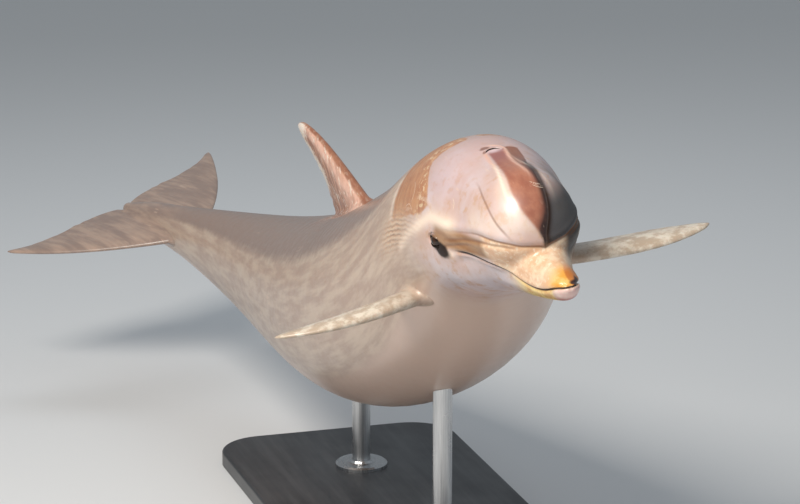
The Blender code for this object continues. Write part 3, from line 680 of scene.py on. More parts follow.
def fin(mesh, grid, shape, side, kind):
    """A fin grown from the skin.

    Its middle surface is middle(t) + (2 chord - 1) half(t), from its two edge curves, and the chord
    ends in an arc.  The root is where that surface leaves the flesh.  Rings run over the skin to a
    loop round the root, rise in a cubic that is level with the skin below and with the fin above,
    and go on to the tip.
    """
    leading, trailing = (np.array(shape[edge], float) * np.array([side, 1, 1])
                         for edge in ("leading", "trailing"))
    root_thick, tip_thick = shape["thickness"]
    tip, margin, nicks = shape["tip"], shape["margin"], shape["nicks"]
    fast, sway, slow = NICK_WAVE
    facing = unit(np.cross(trailing[1] - leading[1], leading[3] - leading[0]))

    def surface(t, chord, skew):
        """Points at share t of the span and chord of its width; skew is the side's share of thickness."""
        narrow = np.sqrt(np.clip(1 - np.clip((t - 1 + tip) / tip, 0, 1)**2, 0, 1))
        front, rear = bezier(leading, t), bezier(trailing, t)
        wave = nicks * np.sin(fast * t + sway * np.sin(slow * t)) * smooth_step(*NICKED, t)
        wave = wave * chord**NICK_POWER
        thick = 0.5 * (root_thick + (tip_thick - root_thick) * t) * narrow * skew
        along = (2 * chord - 1) * narrow + wave
        return (front + rear) / 2 + (rear - front) / 2 * along[..., None] + thick[..., None] * facing

    chord = np.linspace(0, 1, CHORD_POINTS)
    t = np.linspace(0, *ROOT_SEARCH)[:, None]
    middle = surface(t + 0 * chord, chord + 0 * t, 0 * chord + 0 * t)
    out = flesh(middle[..., 1], middle[..., 0], middle[..., 2]) > 0
    leaves = t[np.argmax(out, axis=0), 0]
    root = surface(leaves, chord, 0 * chord)
    root_s = np.minimum(root[:, 1], grid.end - TAIL_ROOM[0])
    root_angle = np.unwrap(turn_of(root))
    if root_angle.mean() < -0.5:
        root_angle = root_angle + 2 * np.pi
    reach = np.hypot(root[:, 0], root[:, 2] - core_height(root[:, 1]))
    middle_s, middle_angle = root_s[CHORD_POINTS // 2], root_angle[CHORD_POINTS // 2]
    if np.dot(skin(middle_s, middle_angle + 0.05) - skin(middle_s, middle_angle - 0.05), facing) < 0:
        facing = -facing

    def foot(turn):
        """The loop round the root: its sides stand off the blade and its ends reach past the chord."""
        at = (1 - np.cos(turn)) / 2
        s = np.interp(at, chord, root_s) - margin * np.cos(turn)
        slope = (root_angle[-1] - root_angle[0]) / (root_s[-1] - root_s[0])
        off = np.sign(np.sin(turn)) * 0.5 * root_thick * blade(at) + margin * np.sin(turn)
        angle = np.interp(at, chord, root_angle) - slope * margin * np.cos(turn)
        return np.minimum(s, grid.end - TAIL_ROOM[1]), angle + off / np.interp(at, chord, reach)

    patch = Patch(mesh, grid, *foot(np.linspace(0, 2 * np.pi, FOOT_POINTS)), *FIN_BLOCK)
    turn = patch.turn
    on_skin = patch.approach(*foot(turn), SKIN_RINGS)
    chord_here = (1 - np.cos(turn)) / 2
    skew = np.sign(np.round(np.sin(turn), 9)) * blade(chord_here)
    span_length = np.linalg.norm(leading[3] - leading[0])
    first = np.clip(np.interp(chord_here, chord, leaves) + margin / span_length, 0, LAST_START)

    def ring(t):
        """The fin's outline at share t of the span."""
        return surface(t, chord_here + 0 * t, skew + 0 * t)

    low, high = on_skin[-1], ring(first)
    inward, upward = unit(on_skin[-1] - on_skin[-2]), unit(ring(first + 0.01) - high)
    pull = np.linalg.norm(high - low, axis=-1, keepdims=True) * RISE_PULL
    u = np.linspace(0, 1, RISE_RINGS + 1)[1:, None, None]
    rise = ((2 * u**3 - 3 * u**2 + 1) * low + (u**3 - 2 * u**2 + u) * pull * inward
            + (3 * u**2 - 2 * u**3) * high + (u**3 - u**2) * pull * upward)
    patch.grow(rise, span=np.linspace(0, ROOT_SPAN, RISE_RINGS)[:, None], chord=chord_here, kind=kind)
    outer = 1 - tip + tip * np.sin(np.linspace(0, np.pi / 2, TIP_RINGS + 1)[1:])
    t = np.concatenate([np.linspace(0, 1 - tip, shape["rings"])[1:], outer])[:, None]
    t = np.where(t < 1 - tip, first + (1 - tip - first) * t / (1 - tip), t)
    patch.grow(ring(t), span=t, chord=chord_here, kind=kind)
    return patch


# ---- lids and blowhole ------------------------------------------------
def eye_frame(side):
    """Point of bare skin over the eye, and the directions back, up and out there."""
    on_skin = skin(EYE_S, side * EYE_ANGLE)
    out = outward(on_skin)
    back = unit(np.array([0, 1, 0]) - out * out[1])
    up = np.cross(back, out) * -side
    back = np.cos(EYE_TILT) * back + np.sin(EYE_TILT) * up
    return on_skin, back, unit(np.cross(back, out) * -side), out


def eyelids(mesh, grid, side):
    """Lids that drape over the eyeball, an almond opening, and the socket closed behind the ball.

    Level and height go round the opening as -cos and sin of the turn.  The lid's edge lies on the
    ball, sqrt(radius^2 - distance^2) over its middle, and its rings lead from the skin to that edge.
    """
    on_skin, back, up, out = eye_frame(side)
    loop = np.linspace(0, 2 * np.pi, LOOP_POINTS)
    angle = side * (EYE_ANGLE + EYE_BLOCK[1] * np.sin(loop)) + (2 * np.pi if side < 0 else 0)
    patch = Patch(mesh, grid, EYE_S - EYE_BLOCK[0] * np.cos(loop), angle, *EYE_MARGIN)
    level, height = -np.cos(patch.turn), -side * np.sin(patch.turn)
    drawn_out = np.sign(level) * np.abs(level)**LID_POWER

    def almond_of(half, lower):
        """The loop with these half sizes, its lower half flatter by lower."""
        tall = height * half[1] * np.where(height > 0, 1.0, lower)
        return (half[0] * drawn_out)[:, None] * back + tall[:, None] * up

    edge = almond_of(EYE_SLIT, LOWER_LID)
    distance = np.linalg.norm(edge, axis=-1)
    rise = np.sqrt(np.clip(EYE_RADIUS**2 - distance**2, 0, None)) - EYE_DEPTH + LID_LIFT
    rise = np.maximum(rise, -CORNER_SINK)
    flat = dressed(skin(patch.s, patch.angle)) - on_skin
    spread = flat - (flat @ out)[:, None] * out
    share = np.linspace(0, 1, LID_RINGS + 1)[1:, None]
    almond = edge + (almond_of(EYE_ROUND, 1.0) - edge) * ((1 - share) / (1 - ROUNDED_BY))[..., None]
    rounding = smooth_step(0, ROUNDED_BY, share)[..., None]
    place = spread * (1 - rounding) + almond * rounding
    guess = on_skin + place
    bare = skin(guess[..., 1], turn_of(guess))
    cover, upper = smooth_step(*LID_DRAPE, share), smooth_step(*UPPER_LID, height)
    puff = sum((low + (high - low) * upper) * bell(share - at, width) for low, high, at, width in LID_FOLDS)
    lifted = ((bare - on_skin) @ out + relief(bare)) * (1 - cover) + rise * cover + puff
    patch.grow(on_skin + place + lifted[..., None] * out, span=share, kind=LID)
    ball = on_skin - EYE_DEPTH * out
    lip = edge * LIP_IN + (rise + EYE_DEPTH)[:, None] * out
    way, size = unit(lip), np.linalg.norm(lip, axis=-1)
    behind = EYE_RADIUS + SOCKET_GAP
    inward = np.linspace(0, 1, LIP_RINGS + 1)[1:, None]
    patch.grow(ball + way * (size * (1 - inward) + behind * inward)[..., None], span=1.0, kind=INNER)
    level_way = unit(way - (way @ out)[:, None] * out)
    start = np.arccos(np.clip(way @ out, -1, 1))
    swing = start + (np.pi - start) * np.linspace(0, 1, SOCKET_RINGS + 1)[1:, None]
    patch.grow(ball + behind * (np.cos(swing)[..., None] * out + np.sin(swing)[..., None] * level_way),
               span=1.0, kind=INNER)
    return patch


def blowhole(mesh, grid):
    """A crescent slit with a raised front rim, its walls going down to a closed bottom.

    The slit's points are an arc of BLOWHOLE_RADIUS, hollow side forwards; along it the turn's sine
    runs from end to end and the cosine parts its two edges.
    """
    loop = np.linspace(0, 2 * np.pi, LOOP_POINTS)
    ahead, half, half_angle = BLOWHOLE_BLOCK
    least, more, right = BLOWHOLE_ENDS
    outline = BLOWHOLE_S - ahead - half * np.cos(loop), half_angle * np.sin(loop)
    patch = Patch(mesh, grid, *outline, *SMALL_BLOCK)
    turn = patch.turn

    def slit(width):
        """Stations and angles of the slit's edges, this far apart at its middle."""
        along = BLOWHOLE_SPREAD * np.sin(turn)
        open_here = width * (least + more * np.cos(turn)**2 + right * np.clip(-np.sin(turn), 0, 1)**4)
        radius = BLOWHOLE_RADIUS - np.cos(turn) * open_here / 2
        x, s = radius * np.sin(along), BLOWHOLE_S - BLOWHOLE_RADIUS + radius * np.cos(along)
        return s, np.arctan2(x, BLOWHOLE_CROWN)

    def stand(share):
        """Height of the rim, a bell in the share of the way in to the slit."""
        high, less, at, width = BLOWHOLE_RIM
        return (high - less * np.clip(np.cos(turn), 0, 1)) * bell(share - at, width)

    edge = patch.approach(*slit(BLOWHOLE_WIDTH), BLOWHOLE_RINGS, RING_EASE, stand)[-1]
    lower = skin(*slit(BLOWHOLE_WIDTH * WALL_NARROW))
    down = -outward(lower)
    depth = np.linspace(*WALL_RINGS)[:, None, None]
    sides = lower + down * BLOWHOLE_DEPTH * depth + (edge - lower) * np.clip(WALL_JOIN - depth, 0, None)
    patch.grow(sides, span=1.0, kind=INNER)
    patch.grow(skin(*slit(0.0)) + down * (BLOWHOLE_DEPTH + BLOWHOLE_FLOOR), span=1.0, kind=INNER)
    return patch


# ---- the whole skin ---------------------------------------------------
def body_grids(mesh):
    """Nose fan, the front and rear stretches of the body and the tail's cap, from pole to pole.

    The front stretch has twice the columns.  In its last row they lie together in pairs, on the
    first row of the rear stretch.
    """
    angles = column_angles()
    across = np.stack([np.sin(angles), 0 * angles, np.cos(angles)], -1)
    ahead = np.array([0, -np.cos(NOSE_RISE), np.sin(NOSE_RISE)])
    tilt = (np.pi / 2) * np.linspace(1, 0, NOSE_ROWS + 1)[:-1, None, None]
    way = unit(np.cos(tilt) * across + np.sin(tilt) * ahead)
    nose = mesh.add(dressed(cast(np.array([0, NOSE_S, core_height(NOSE_S)]), way)))
    s = row_stations(NOSE_S, JOIN_S)
    turned = np.tile(angles, (len(s), 1))
    turned[-1] = np.repeat(angles[::2], 2)
    front = Grid(mesh, s, angles, turned)
    rear = Grid(mesh, row_stations(JOIN_S, SPACING_S[-1]), angles[::2], angles[None, ::2])
    last = rear.points[-1]
    centre = last.mean(0)
    cap = np.linspace(0, np.pi / 2, CAP_RINGS + 1)[1:, None, None]
    tail = mesh.add(centre + (last - centre) * np.cos(cap) + np.array([0, TAIL_CAP, 0]) * np.sin(cap))
    mesh.weave(np.concatenate([nose, front.numbers[:1]]))
    mesh.weave(np.concatenate([rear.numbers[-1:], tail]))
    return front, rear


def make_skin():
    """The body with its fins, lids and blowhole."""
    mesh = Skin()
    front, rear = body_grids(mesh)
    patches = [fin(mesh, rear, DORSAL, 1, DORSAL_FIN), blowhole(mesh, front)]
    for side in (1, -1):
        patches += [fin(mesh, front, FLIPPER, side, FLIPPER_FIN), fin(mesh, rear, FLUKE, side, FLUKE_FIN),
                    eyelids(mesh, front, side)]
    for patch in patches:
        patch.close()
    for grid in (front, rear):
        mesh.weave(grid.numbers, grid.keep)
    return mesh


# ---- markings ---------------------------------------------------------
PATCH_FRONT = ((12, 30, 48, 60, 70), (0.410, 0.424, 0.392, 0.380, 0.402))  # degrees, and s of its edge
PALE_LEAF_WIDTH = ((0.10, 0.115, 0.15, 0.19, 0.24), (0.020, 0.034, 0.040, 0.026, 0.008))    # by s
BAND_BACK = (0.3225, 0.013, 0.012, 0.030)   # s of its rear edge, how much more beyond two places in x
INK_EDGE = (0.006, 0.011)                   # a line's ink is left out farther from it than this
# Name, lines, width, strength, and the shares that the ink rises and falls over.
# The crease, fold, pouch and thin lines are drawn as painted shade in the grooves of the skin; the scar lines
# are pale scars.
INKS = (("crease", [CREASE_LINE], 0.0032, 0.80, TINY, 0.60), ("fold", [FOLD_LINE], 0.0036, 0.60, 0.15, 0.25),
        ("pouch", [POUCH_LINE], 0.0036, 0.60, 0.25, 0.20), ("thin", [SIDE_LINE], 0.0034, 0.55, 0.35, 0.15),
        ("scar", SCAR_LINES, 0.0009, 0.75, 0.2, 0.2))


def inked(place, lines, width, amount, start, end):
    """Signed distance over width of the nearest of some lines, and its strength there."""
    off, strength, reach = np.full(len(place), 9.0), np.zeros(len(place)), np.full(len(place), LINE_REACH)
    for line in lines:
        distance, share = line.measure(place)
        closer = np.abs(distance) < reach
        reach = np.where(closer, np.abs(distance), reach)
        off = np.where(closer, distance / width, off)
        near = falling(*INK_EDGE, np.abs(distance))
        strength = np.where(closer, amount * near * fading(share, start, end), strength)
    return off, strength


def band_marks(place, x, s, z, behind_crease):
    """The dark band down the melon, its ridge, the pale streak beside it, a pale leaf with a painted
    highlight on it, and painted shade beyond the band and along its right edge and foot.

    Each edge is an eased step in the distance from the line that bounds it.
    """
    left, right = LEFT_LINE.measure(place)[0], RIGHT_LINE.measure(place)[0]
    ridge, ridge_run = RIDGE_LINE.measure(place)
    off, run = STREAK_LINE.measure(place)
    back_edge = BAND_BACK[0] + BAND_BACK[1] * smooth_step(*BAND_BACK[2:], x)
    band = smooth_step(-0.003, 0.0085, left) * smooth_step(-0.0015, 0.0025, -right) * (z > 0.03)
    # painted shade: near black along the band's right edge, widening lower down
    shade_along_edge = bell(right + 0.002, 0.0062 + 0.06 * np.clip(0.15 - z, 0, 0.08)) * falling(0.22, 0.29, s)
    # painted shade at the band's foot, in the corner over the crease
    foot = falling(0.060, 0.105, z) * smooth_step(-0.016, 0.004, x)
    # darker beside the ridge, on the far side of it
    beside_ridge = smooth_step(0.0, 0.006, ridge) * smooth_step(0.15, 0.20, s)
    far_side = smooth_step(-0.002, 0.003, right) * smooth_step(0.0, 0.01, x) * falling(0.20, 0.34, s)
    far_root = smooth_step(0.085, 0.11, s) * smooth_step(0.030, 0.050, x)
    beyond = -left / np.interp(s, *PALE_LEAF_WIDTH)
    broad = smooth_step(-0.008, 0.003, -left) * falling(0.15, 1.15, beyond) * (x < 0)
    on_body = {
        "band": band * smooth_step(-0.003, 0.006, back_edge - s),
        "ridge": bell(ridge, 0.0030) * fading(ridge_run, 0.08, 0.3),
        "band_top": smooth_step(0.235, 0.305, s) * falling(-0.002, 0.003, ridge),
        # painted shade: the far side of the melon, beyond the band and behind the crease, is darkened to near
        # black
        "shade": (far_side * falling(0.105, 0.158, z) * smooth_step(-0.02, 0.02, z)
                  * np.maximum(behind_crease, far_root)),
        # painted shade: a near-black line along the outside of the band's right edge
        "edge_shade": bell(right - 0.0015, 0.0060) * falling(0.21, 0.27, s) * behind_crease,
        # a pale leaf of skin beside the band, brightened as a painted highlight of the key light
        "pale_leaf_and_highlight": broad * between(s, 0.112, 0.17, 0.05) * smooth_step(0.046, 0.085, z),
        "streak": bell(off, 0.0030) * fading(run, 0.03, 0.25) * (0.6 + 0.4 * (x < 0))}
    anywhere = {"band_dark_and_shade": np.clip(shade_along_edge + 0.8 * foot + 0.35 * beside_ridge, 0, 1), "streak_run": run}
    return on_body, anywhere


def trunk_marks(x, s, z, degrees):
    """Belly, back, head and the tan patch behind the blowhole with its pale rim."""
    share = z / np.where(z > 0, spline(TRUNK_S, TRUNK_UP, s), spline(TRUNK_S, TRUNK_DOWN, s))
    wide, front_edge = np.abs(x), np.interp(degrees, *PATCH_FRONT)
    return {
        "belly": smooth_step(0.05, 0.80, -share) * smooth_step(0.0, 0.3, s),
        "head": falling(0.36, 0.50, s + 0.15 * np.clip(0.10 - z, 0, None)),
        "rosy": smooth_step(0.20, 0.36, s) * falling(0.40, 0.46, s) * smooth_step(0.085, 0.12, z),
        "tawny": spot((s - 0.385) / 1.3, z - 0.022, 0.026) * smooth_step(0.06, 0.10, wide),
        "back": smooth_step(0.50, 1.0, share) * smooth_step(0.46, 0.70, s),
        "patch": between(s, front_edge, 0.508, 0.026) * between(degrees, 8, 63, 9),
        "rim": bell(s - front_edge - 0.006, 0.013) * between(degrees, 8, 66, 9),
        "neck": neck_share(s, z) * smooth_step(*NECK_SIDE, wide)}


def cheek_marks(x, s, z, degrees, gap):
    """Pale skin over and behind the eye with painted highlights on the brow and by the mouth's corner, the
    golden cheek darkened as painted shade, and painted shade under the eye.
    """
    wide = np.abs(x)
    # the pale brow, brightened as a painted highlight where the light catches it
    brow = bell(z - 0.063 + 0.5 * np.clip(s - 0.355, 0, None), 0.013) * between(s, 0.290, 0.375, 0.045)
    low_melon = bell(z - 0.086, 0.020) * between(s, 0.12, 0.20, 0.05) * smooth_step(0.02, 0.05, wide)
    behind = bell(z - 0.044 + 0.30 * (s - 0.392), 0.011) * between(s, 0.405, 0.485, 0.03)
    edge = bell(s - 0.532, 0.008) * between(degrees, 42, 62, 8)
    # painted highlight on the cheek just under the corner of the mouth
    jowl = spot((s - 0.282) * 0.5, gap + 0.006, 0.008)
    from_eye = np.hypot((s - 0.312) / 0.036, (z - 0.013 - 0.12 * (s - 0.312)) / 0.0190)
    along_cheek = between(z, 0.026, 0.050, 0.012) * between(s, 0.13, 0.325, 0.03)
    return {
        "cream_and_highlight": np.clip(brow + 0.45 * low_melon + 0.9 * behind + 0.6 * edge + 0.6 * jowl, 0, 1),
        # golden-brown cheek under the folds, darkened as painted shade where the cheek faces down
        "gold_and_shade": along_cheek * smooth_step(0.045, 0.075, wide),
        # painted shade: near black in the hollow below and in front of the eye
        "under_eye_shade": falling(0.40, 1.10, from_eye) * smooth_step(0.08, 0.11, wide)}


def beak_marks(x, s, z, gap, behind_crease):
    """The pale jaw, its orange with painted shade on the beak's far side and a painted shadow at its tip, the
    chin with painted shade under it, painted shade at the near end of the blowhole, and the blowhole's lip.
    """
    wide = np.abs(x)
    above = smooth_step(-0.001, 0.002, gap)
    chin = falling(0.10, 0.22, s) * falling(-0.004, 0.0, gap)
    far_side = smooth_step(0.000, 0.016, x) * falling(0.06, 0.11, s)
    # painted shadow on the front and far side of the upper beak's tip
    dark = spot(s + 0.001, (x - 0.014) * 0.55, 0.0080) + 0.9 * spot((s - 0.010) * 0.5, x - 0.020, 0.0060)
    # painted shade beside the near end of the blowhole's slit
    blowhole_shade = spot((x + 0.011) * 0.55, s - 0.3385, 0.0060) + spot(x + 0.0165, s - 0.3245, 0.0040)
    return {
        "jaw": falling(0.095, 0.165, s - 0.5 * wide) * (1 - behind_crease) * smooth_step(-0.006, 0.0, gap),
        "orange": falling(0.010, 0.085, s - 0.55 * x + 0.010) * above,
        # painted shade: a deeper orange down the far side of the beak and at the far side of its tip
        "orange_shade": np.clip(0.9 * spot((s - 0.012) * 0.6, x - 0.014, 0.013) + 0.8 * far_side, 0, 1),
        "tip_shade": np.clip(dark, 0, 1) * smooth_step(0.0, 0.002, gap),
        "chin": chin * falling(0.10, 0.18, s) * smooth_step(0.012, 0.030, s + 0.2 * wide),
        "chin_pink": chin * falling(0.010, 0.026, s + 0.15 * wide - 0.1 * x),
        # painted shade: rosy-dark under the tip of the lower jaw
        "chin_rosy_shade": chin * spot((s - 0.006) * 0.6, z + 0.030, 0.0080),
        "blowhole_shade": blowhole_shade * (z > 0.1),
        "blow_lip": spot(x * 0.45, s - 0.3205, 0.0055) * (z > 0.1)}


def markings(place, span, chord, kind):
    """Strength of each marking at the straight places, from 0 to 1; offsets are in metres or widths."""
    x, s, z = place.T
    degrees, gap = np.abs(np.degrees(turn_of(place))), z - mouth(s)
    body, bare = np.isin(kind, (BODY, LID, INNER)).astype(float), (kind == BODY).astype(float)
    behind_crease = smooth_step(-0.001, 0.003, CREASE_LINE.measure(place)[0]) * smooth_step(0.070, 0.085, s)
    on_body, anywhere = band_marks(place, x, s, z, behind_crease)
    on_body.update(trunk_marks(x, s, z, degrees))
    on_body.update(cheek_marks(x, s, z, degrees, gap))
    on_bare = beak_marks(x, s, z, gap, behind_crease)
    for name, *ink in INKS:
        anywhere[name], on_bare[name + "_ink"] = inked(place, *ink)
    on_body["crease_ink"] = on_bare.pop("crease_ink")

    # a dark rim on the lids' edges, and painted shade, near black, on the inner walls of the eye's socket and
    # of the blowhole
    ring = bell(span - 1.0, 0.30) * (kind == LID)
    fin_foot = bell(x, 0.026) * between(s, 1.05, 1.38, 0.05) * (z > 0) * 0.8
    anywhere.update({
        "span": span, "chord": chord, "rim_and_hollow_shade": np.clip(ring + (kind == INNER), 0, 1),
        "mouth": np.where((s < GAPE + 0.004) & (bare > 0), gap, LINE_REACH),
        "mouth_end": falling(GAPE - 0.020, GAPE + 0.004, s),
        "dorsal": (kind == DORSAL_FIN) + bare * fin_foot,
        "flipper": (kind == FLIPPER_FIN) * smooth_step(0.0, 0.10, span),
        "fluke": (kind == FLUKE_FIN) + bare * smooth_step(2.12, 2.32, s) * 0.8})
    marks = {name: value * body for name, value in on_body.items()}
    marks.update({name: value * bare for name, value in on_bare.items()})
    return {name: value.astype(np.float32) for name, value in {**anywhere, **marks}.items()}


# ---- meshes into the scene --------------------------------------------
def placed(name, data, at=(0, 0, 0), back=None):
    """A new object in the scene, its own Z turned along back where that is given."""
    made = bpy.data.objects.new(name, data)
    bpy.context.scene.collection.objects.link(made)
    made.location = at
    if back is not None:
        made.rotation_euler = Vector(back).to_track_quat("Z", "Y").to_euler()
    return made


def finish_mesh(name, data, material):
    """Merge doubles, face outwards, shade smooth and put the mesh into the scene as one object."""
    shape = bmesh.new()
    shape.from_mesh(data)
    bmesh.ops.remove_doubles(shape, verts=shape.verts, dist=2e-6)
    bmesh.ops.recalc_face_normals(shape, faces=shape.faces)
    if shape.calc_volume(signed=True) < 0:
        bmesh.ops.reverse_faces(shape, faces=shape.faces)
    shape.to_mesh(data)
    shape.free()
    data.shade_smooth()
    data.materials.append(material)
    return placed(name, data)


def quad_mesh(name, points, quads):
    """A mesh of quads from arrays of points and of vertex numbers."""
    data = bpy.data.meshes.new(name)
    data.vertices.add(len(points))
    data.vertices.foreach_set("co", points.astype(np.float32).ravel())
    data.loops.add(quads.size)
    data.loops.foreach_set("vertex_index", quads.ravel().astype(np.int32))
    data.polygons.add(len(quads))
    data.polygons.foreach_set("loop_start", np.arange(0, quads.size, 4, dtype=np.int32))
    data.update(calc_edges=True)
    return data


def skin_object(material):
    """The skin as a mesh object, its markings stored on the vertices."""
    grid = make_skin()
    quads = np.concatenate(grid.quads)
    used, quads = np.unique(quads, return_inverse=True)
    quads = quads.reshape(-1, 4)
    place = np.concatenate(grid.places)[used]
    span, chord, kind = (np.concatenate(v)[used] for v in (grid.spans, grid.chords, grid.kinds))
    data = quad_mesh("dolphin_skin", posed(place), quads)
    straight = data.attributes.new("place", "FLOAT_VECTOR", "POINT")
    straight.data.foreach_set("vector", place.astype(np.float32).ravel())
    for name, value in markings(place, span, chord, kind).items():
        data.attributes.new(name, "FLOAT", "POINT").data.foreach_set("value", value)
    return finish_mesh("dolphin_skin", data, material)


# ---- materials --------------------------------------------------------
class Finish:
    """A material in the making.

    Each method adds nodes and returns their output; where it asks for a value, a number, a colour
    or another node's output will do.
    """

    def __init__(self, name):
        self.material = bpy.data.materials.new(name)
        self.material.use_nodes = True
        self.tree = self.material.node_tree
        self.shader = self.tree.nodes["Principled BSDF"]

    def feed(self, node, inputs):
        """Set a node's sockets, by name or number, or link them where the value is an output."""
        for key, value in inputs.items():
            if isinstance(value, bpy.types.NodeSocket):
                self.tree.links.new(value, node.inputs[key])
            else:
                node.inputs[key].default_value = value

    def add(self, kind, output, inputs, **settings):
        """One shader node; returns the output asked for."""
        node = self.tree.nodes.new("ShaderNode" + kind)
        for key, value in settings.items():
            setattr(node, key, value)
        self.feed(node, inputs)
        return node.outputs[output]

    def finished(self, **sockets):
        """Feed the shader, whose sockets are named here with _ for a space; returns the material."""
        self.feed(self.shader, {key.replace("_", " "): value for key, value in sockets.items()})
        return self.material

    def math(self, kind, a, b=0.0, c=0.0):
        """One sum, product or other function of up to three values."""
        return self.add("Math", 0, {0: a, 1: b, 2: c}, operation=kind)

    def times(self, a, b):
        """The product of two values."""
        return self.math("MULTIPLY", a, b)

    def vector(self, kind, output, *inputs):
        """A function of up to two vectors."""
        return self.add("VectorMath", output, dict(enumerate(inputs)), operation=kind)

    def mark(self, name, share=None):
        """A marking's strength, or a share of it."""
        strength = self.add("Attribute", "Fac", {}, attribute_name=name)
        return strength if share is None else self.times(strength, share)

    def graded(self, value, low, high, start=0.0, end=1.0):
        """value carried from low..high to start..end with an eased ramp."""
        ends = {"From Min": low, "From Max": high, "To Min": start, "To Max": end}
        return self.add("MapRange", "Result", {"Value": value, **ends}, interpolation_type="SMOOTHSTEP")

    def noise(self, where, scale, detail=3.0, rough=0.55, stretch=None):
        """Noise from 0 to 1 at scale per metre, stretched along an axis where asked."""
        if stretch:
            where = self.add("Mapping", 0, {"Vector": where, "Scale": stretch})
        grain = {"Scale": scale, "Detail": detail, "Roughness": rough}
        return self.add("TexNoise", "Fac", {"Vector": where, **grain})

    def paint(self, amount, under, over):
        """Colour over laid on colour under by amount."""
        under, over = ((*c, 1.0) if isinstance(c, tuple) else c for c in (under, over))
        return self.add("Mix", 2, {0: amount, 6: under, 7: over}, data_type="RGBA")

    def coats(self, colour, *layers):
        """A colour with each (amount, colour over it) laid on in turn."""
        for amount, over in layers:
            colour = self.paint(amount, colour, over)
        return colour

    def mottled(self, grain, low, high, first, second):
        """A colour that eases from first to second as grain goes from low to high."""
        return self.paint(self.graded(grain, low, high), first, second)

    def ragged(self, name, grain, amount, low=0.30, high=0.70, foot=0.12):
        """A marking whose edge is broken by grain.

        It is value + (grain - 1/2) amount, eased from low to high, and none where value is under foot.
        """
        value = self.mark(name) if isinstance(name, str) else name
        shifted = self.math("MULTIPLY_ADD", self.math("SUBTRACT", grain, 0.5), amount, value)
        return self.times(self.graded(shifted, low, high), self.graded(value, 0.0, foot))

    def drawn(self, name):
        """A line from its offset in widths: full at its middle and gone one width away."""
        reach = self.math("ABSOLUTE", self.mark(name))
        return self.times(self.graded(reach, 0.1, 1.1, 1.0, 0.0), self.mark(name + "_ink"))

    def bump(self, height, strength, distance, under=None):
        """A normal tilted by the slope of height, over another where one is given."""
        inputs = {"Height": height, "Strength": strength, "Distance": distance}
        if under is not None:
            inputs["Normal"] = under
        return self.add("Bump", "Normal", inputs)


TAUPE, TAUPE_PALE, TAUPE_DARK = (0.450, 0.320, 0.250), (0.580, 0.450, 0.350), (0.300, 0.215, 0.178)
BELLY = (0.680, 0.500, 0.410)
LILAC, ROSE, TAWNY = (0.660, 0.560, 0.580), (0.600, 0.420, 0.370), (0.560, 0.340, 0.220)
HEAD_ROSY = (0.500, 0.350, 0.350)
BAND, BAND_PALE, BAND_TOP = (0.330, 0.115, 0.070), (0.430, 0.175, 0.105), (0.300, 0.115, 0.100)
BAND_DARK_AND_SHADE, BAND_PINK = (0.030, 0.010, 0.008), (0.760, 0.480, 0.380)
CREAM, CREAM_RIDGE, RIM_SAND = (0.930, 0.760, 0.620), (0.700, 0.400, 0.290), (0.80, 0.62, 0.40)
TAN_PATCH, TAN_PALE = (0.400, 0.155, 0.060), (0.540, 0.260, 0.110)
SHADED_GOLD, GOLD_PALE = (0.255, 0.115, 0.042), (0.370, 0.200, 0.095)
PEACH, PEACH_PALE, JAW_SPOTS = (0.740, 0.450, 0.270), (0.860, 0.650, 0.460), (0.92, 0.78, 0.62)
AMBER, ORANGE, ORANGE_SHADE = (0.860, 0.540, 0.160), (0.800, 0.370, 0.055), (0.520, 0.150, 0.020)
TIP_SHADE = (0.050, 0.014, 0.008)
CHIN_PINK, CHIN_PALE, CHIN_SHADE = (0.840, 0.560, 0.500), (0.88, 0.68, 0.60), (0.420, 0.110, 0.090)
CHIN_YELLOW, CHIN_OCHRE = (0.860, 0.640, 0.240), (0.700, 0.380, 0.130)
# the first is the near black of painted shade beside the band and in the groove of the mouth, the second the
# brown of painted shade along the folds
DEEP_SHADE, FOLD_SHADE = (0.022, 0.010, 0.006), (0.200, 0.085, 0.040)
RAKE_PALE, SCAR_PALE, SHADE = (0.72, 0.52, 0.40), (0.86, 0.70, 0.56), (0.052, 0.062, 0.070)
BLOWHOLE_SHADE, LIP_LILAC = (0.170, 0.060, 0.030), (0.700, 0.560, 0.600)
NECK_SAND, NECK_FOLD_SHADE = (0.740, 0.540, 0.380), (0.400, 0.210, 0.120)
FIN_RED, FIN_DARK = (0.600, 0.310, 0.190), (0.300, 0.120, 0.065)
FIN_HIGHLIGHT, FIN_PALE = (0.840, 0.520, 0.400), (0.920, 0.800, 0.680)
FLIPPER_SAND, FLIPPER_PALE, FLIPPER_ROOT_SHADE = (0.500, 0.390, 0.290), (0.740, 0.660, 0.550), (0.260, 0.175, 0.130)
RIM_AND_HOLLOW_SHADE, UNDER_EYE_SHADE = (0.008, 0.005, 0.004), (0.014, 0.009, 0.008)
IRIS, IRIS_DARK = (0.060, 0.026, 0.012), (0.022, 0.010, 0.006)
PUPIL, EYE_WHITE = (0.004, 0.003, 0.004), (0.024, 0.012, 0.009)     # a dolphin's is dark brown
LACQUER, LACQUER_PALE = (0.022, 0.023, 0.026), (0.046, 0.047, 0.051)
STEEL, STEEL_PALE = (0.50, 0.505, 0.515), (0.66, 0.665, 0.67)
FLOOR_GREY, ROOM_BLUE = (0.72, 0.73, 0.74, 1.0), (0.80, 0.88, 0.95, 1.0)


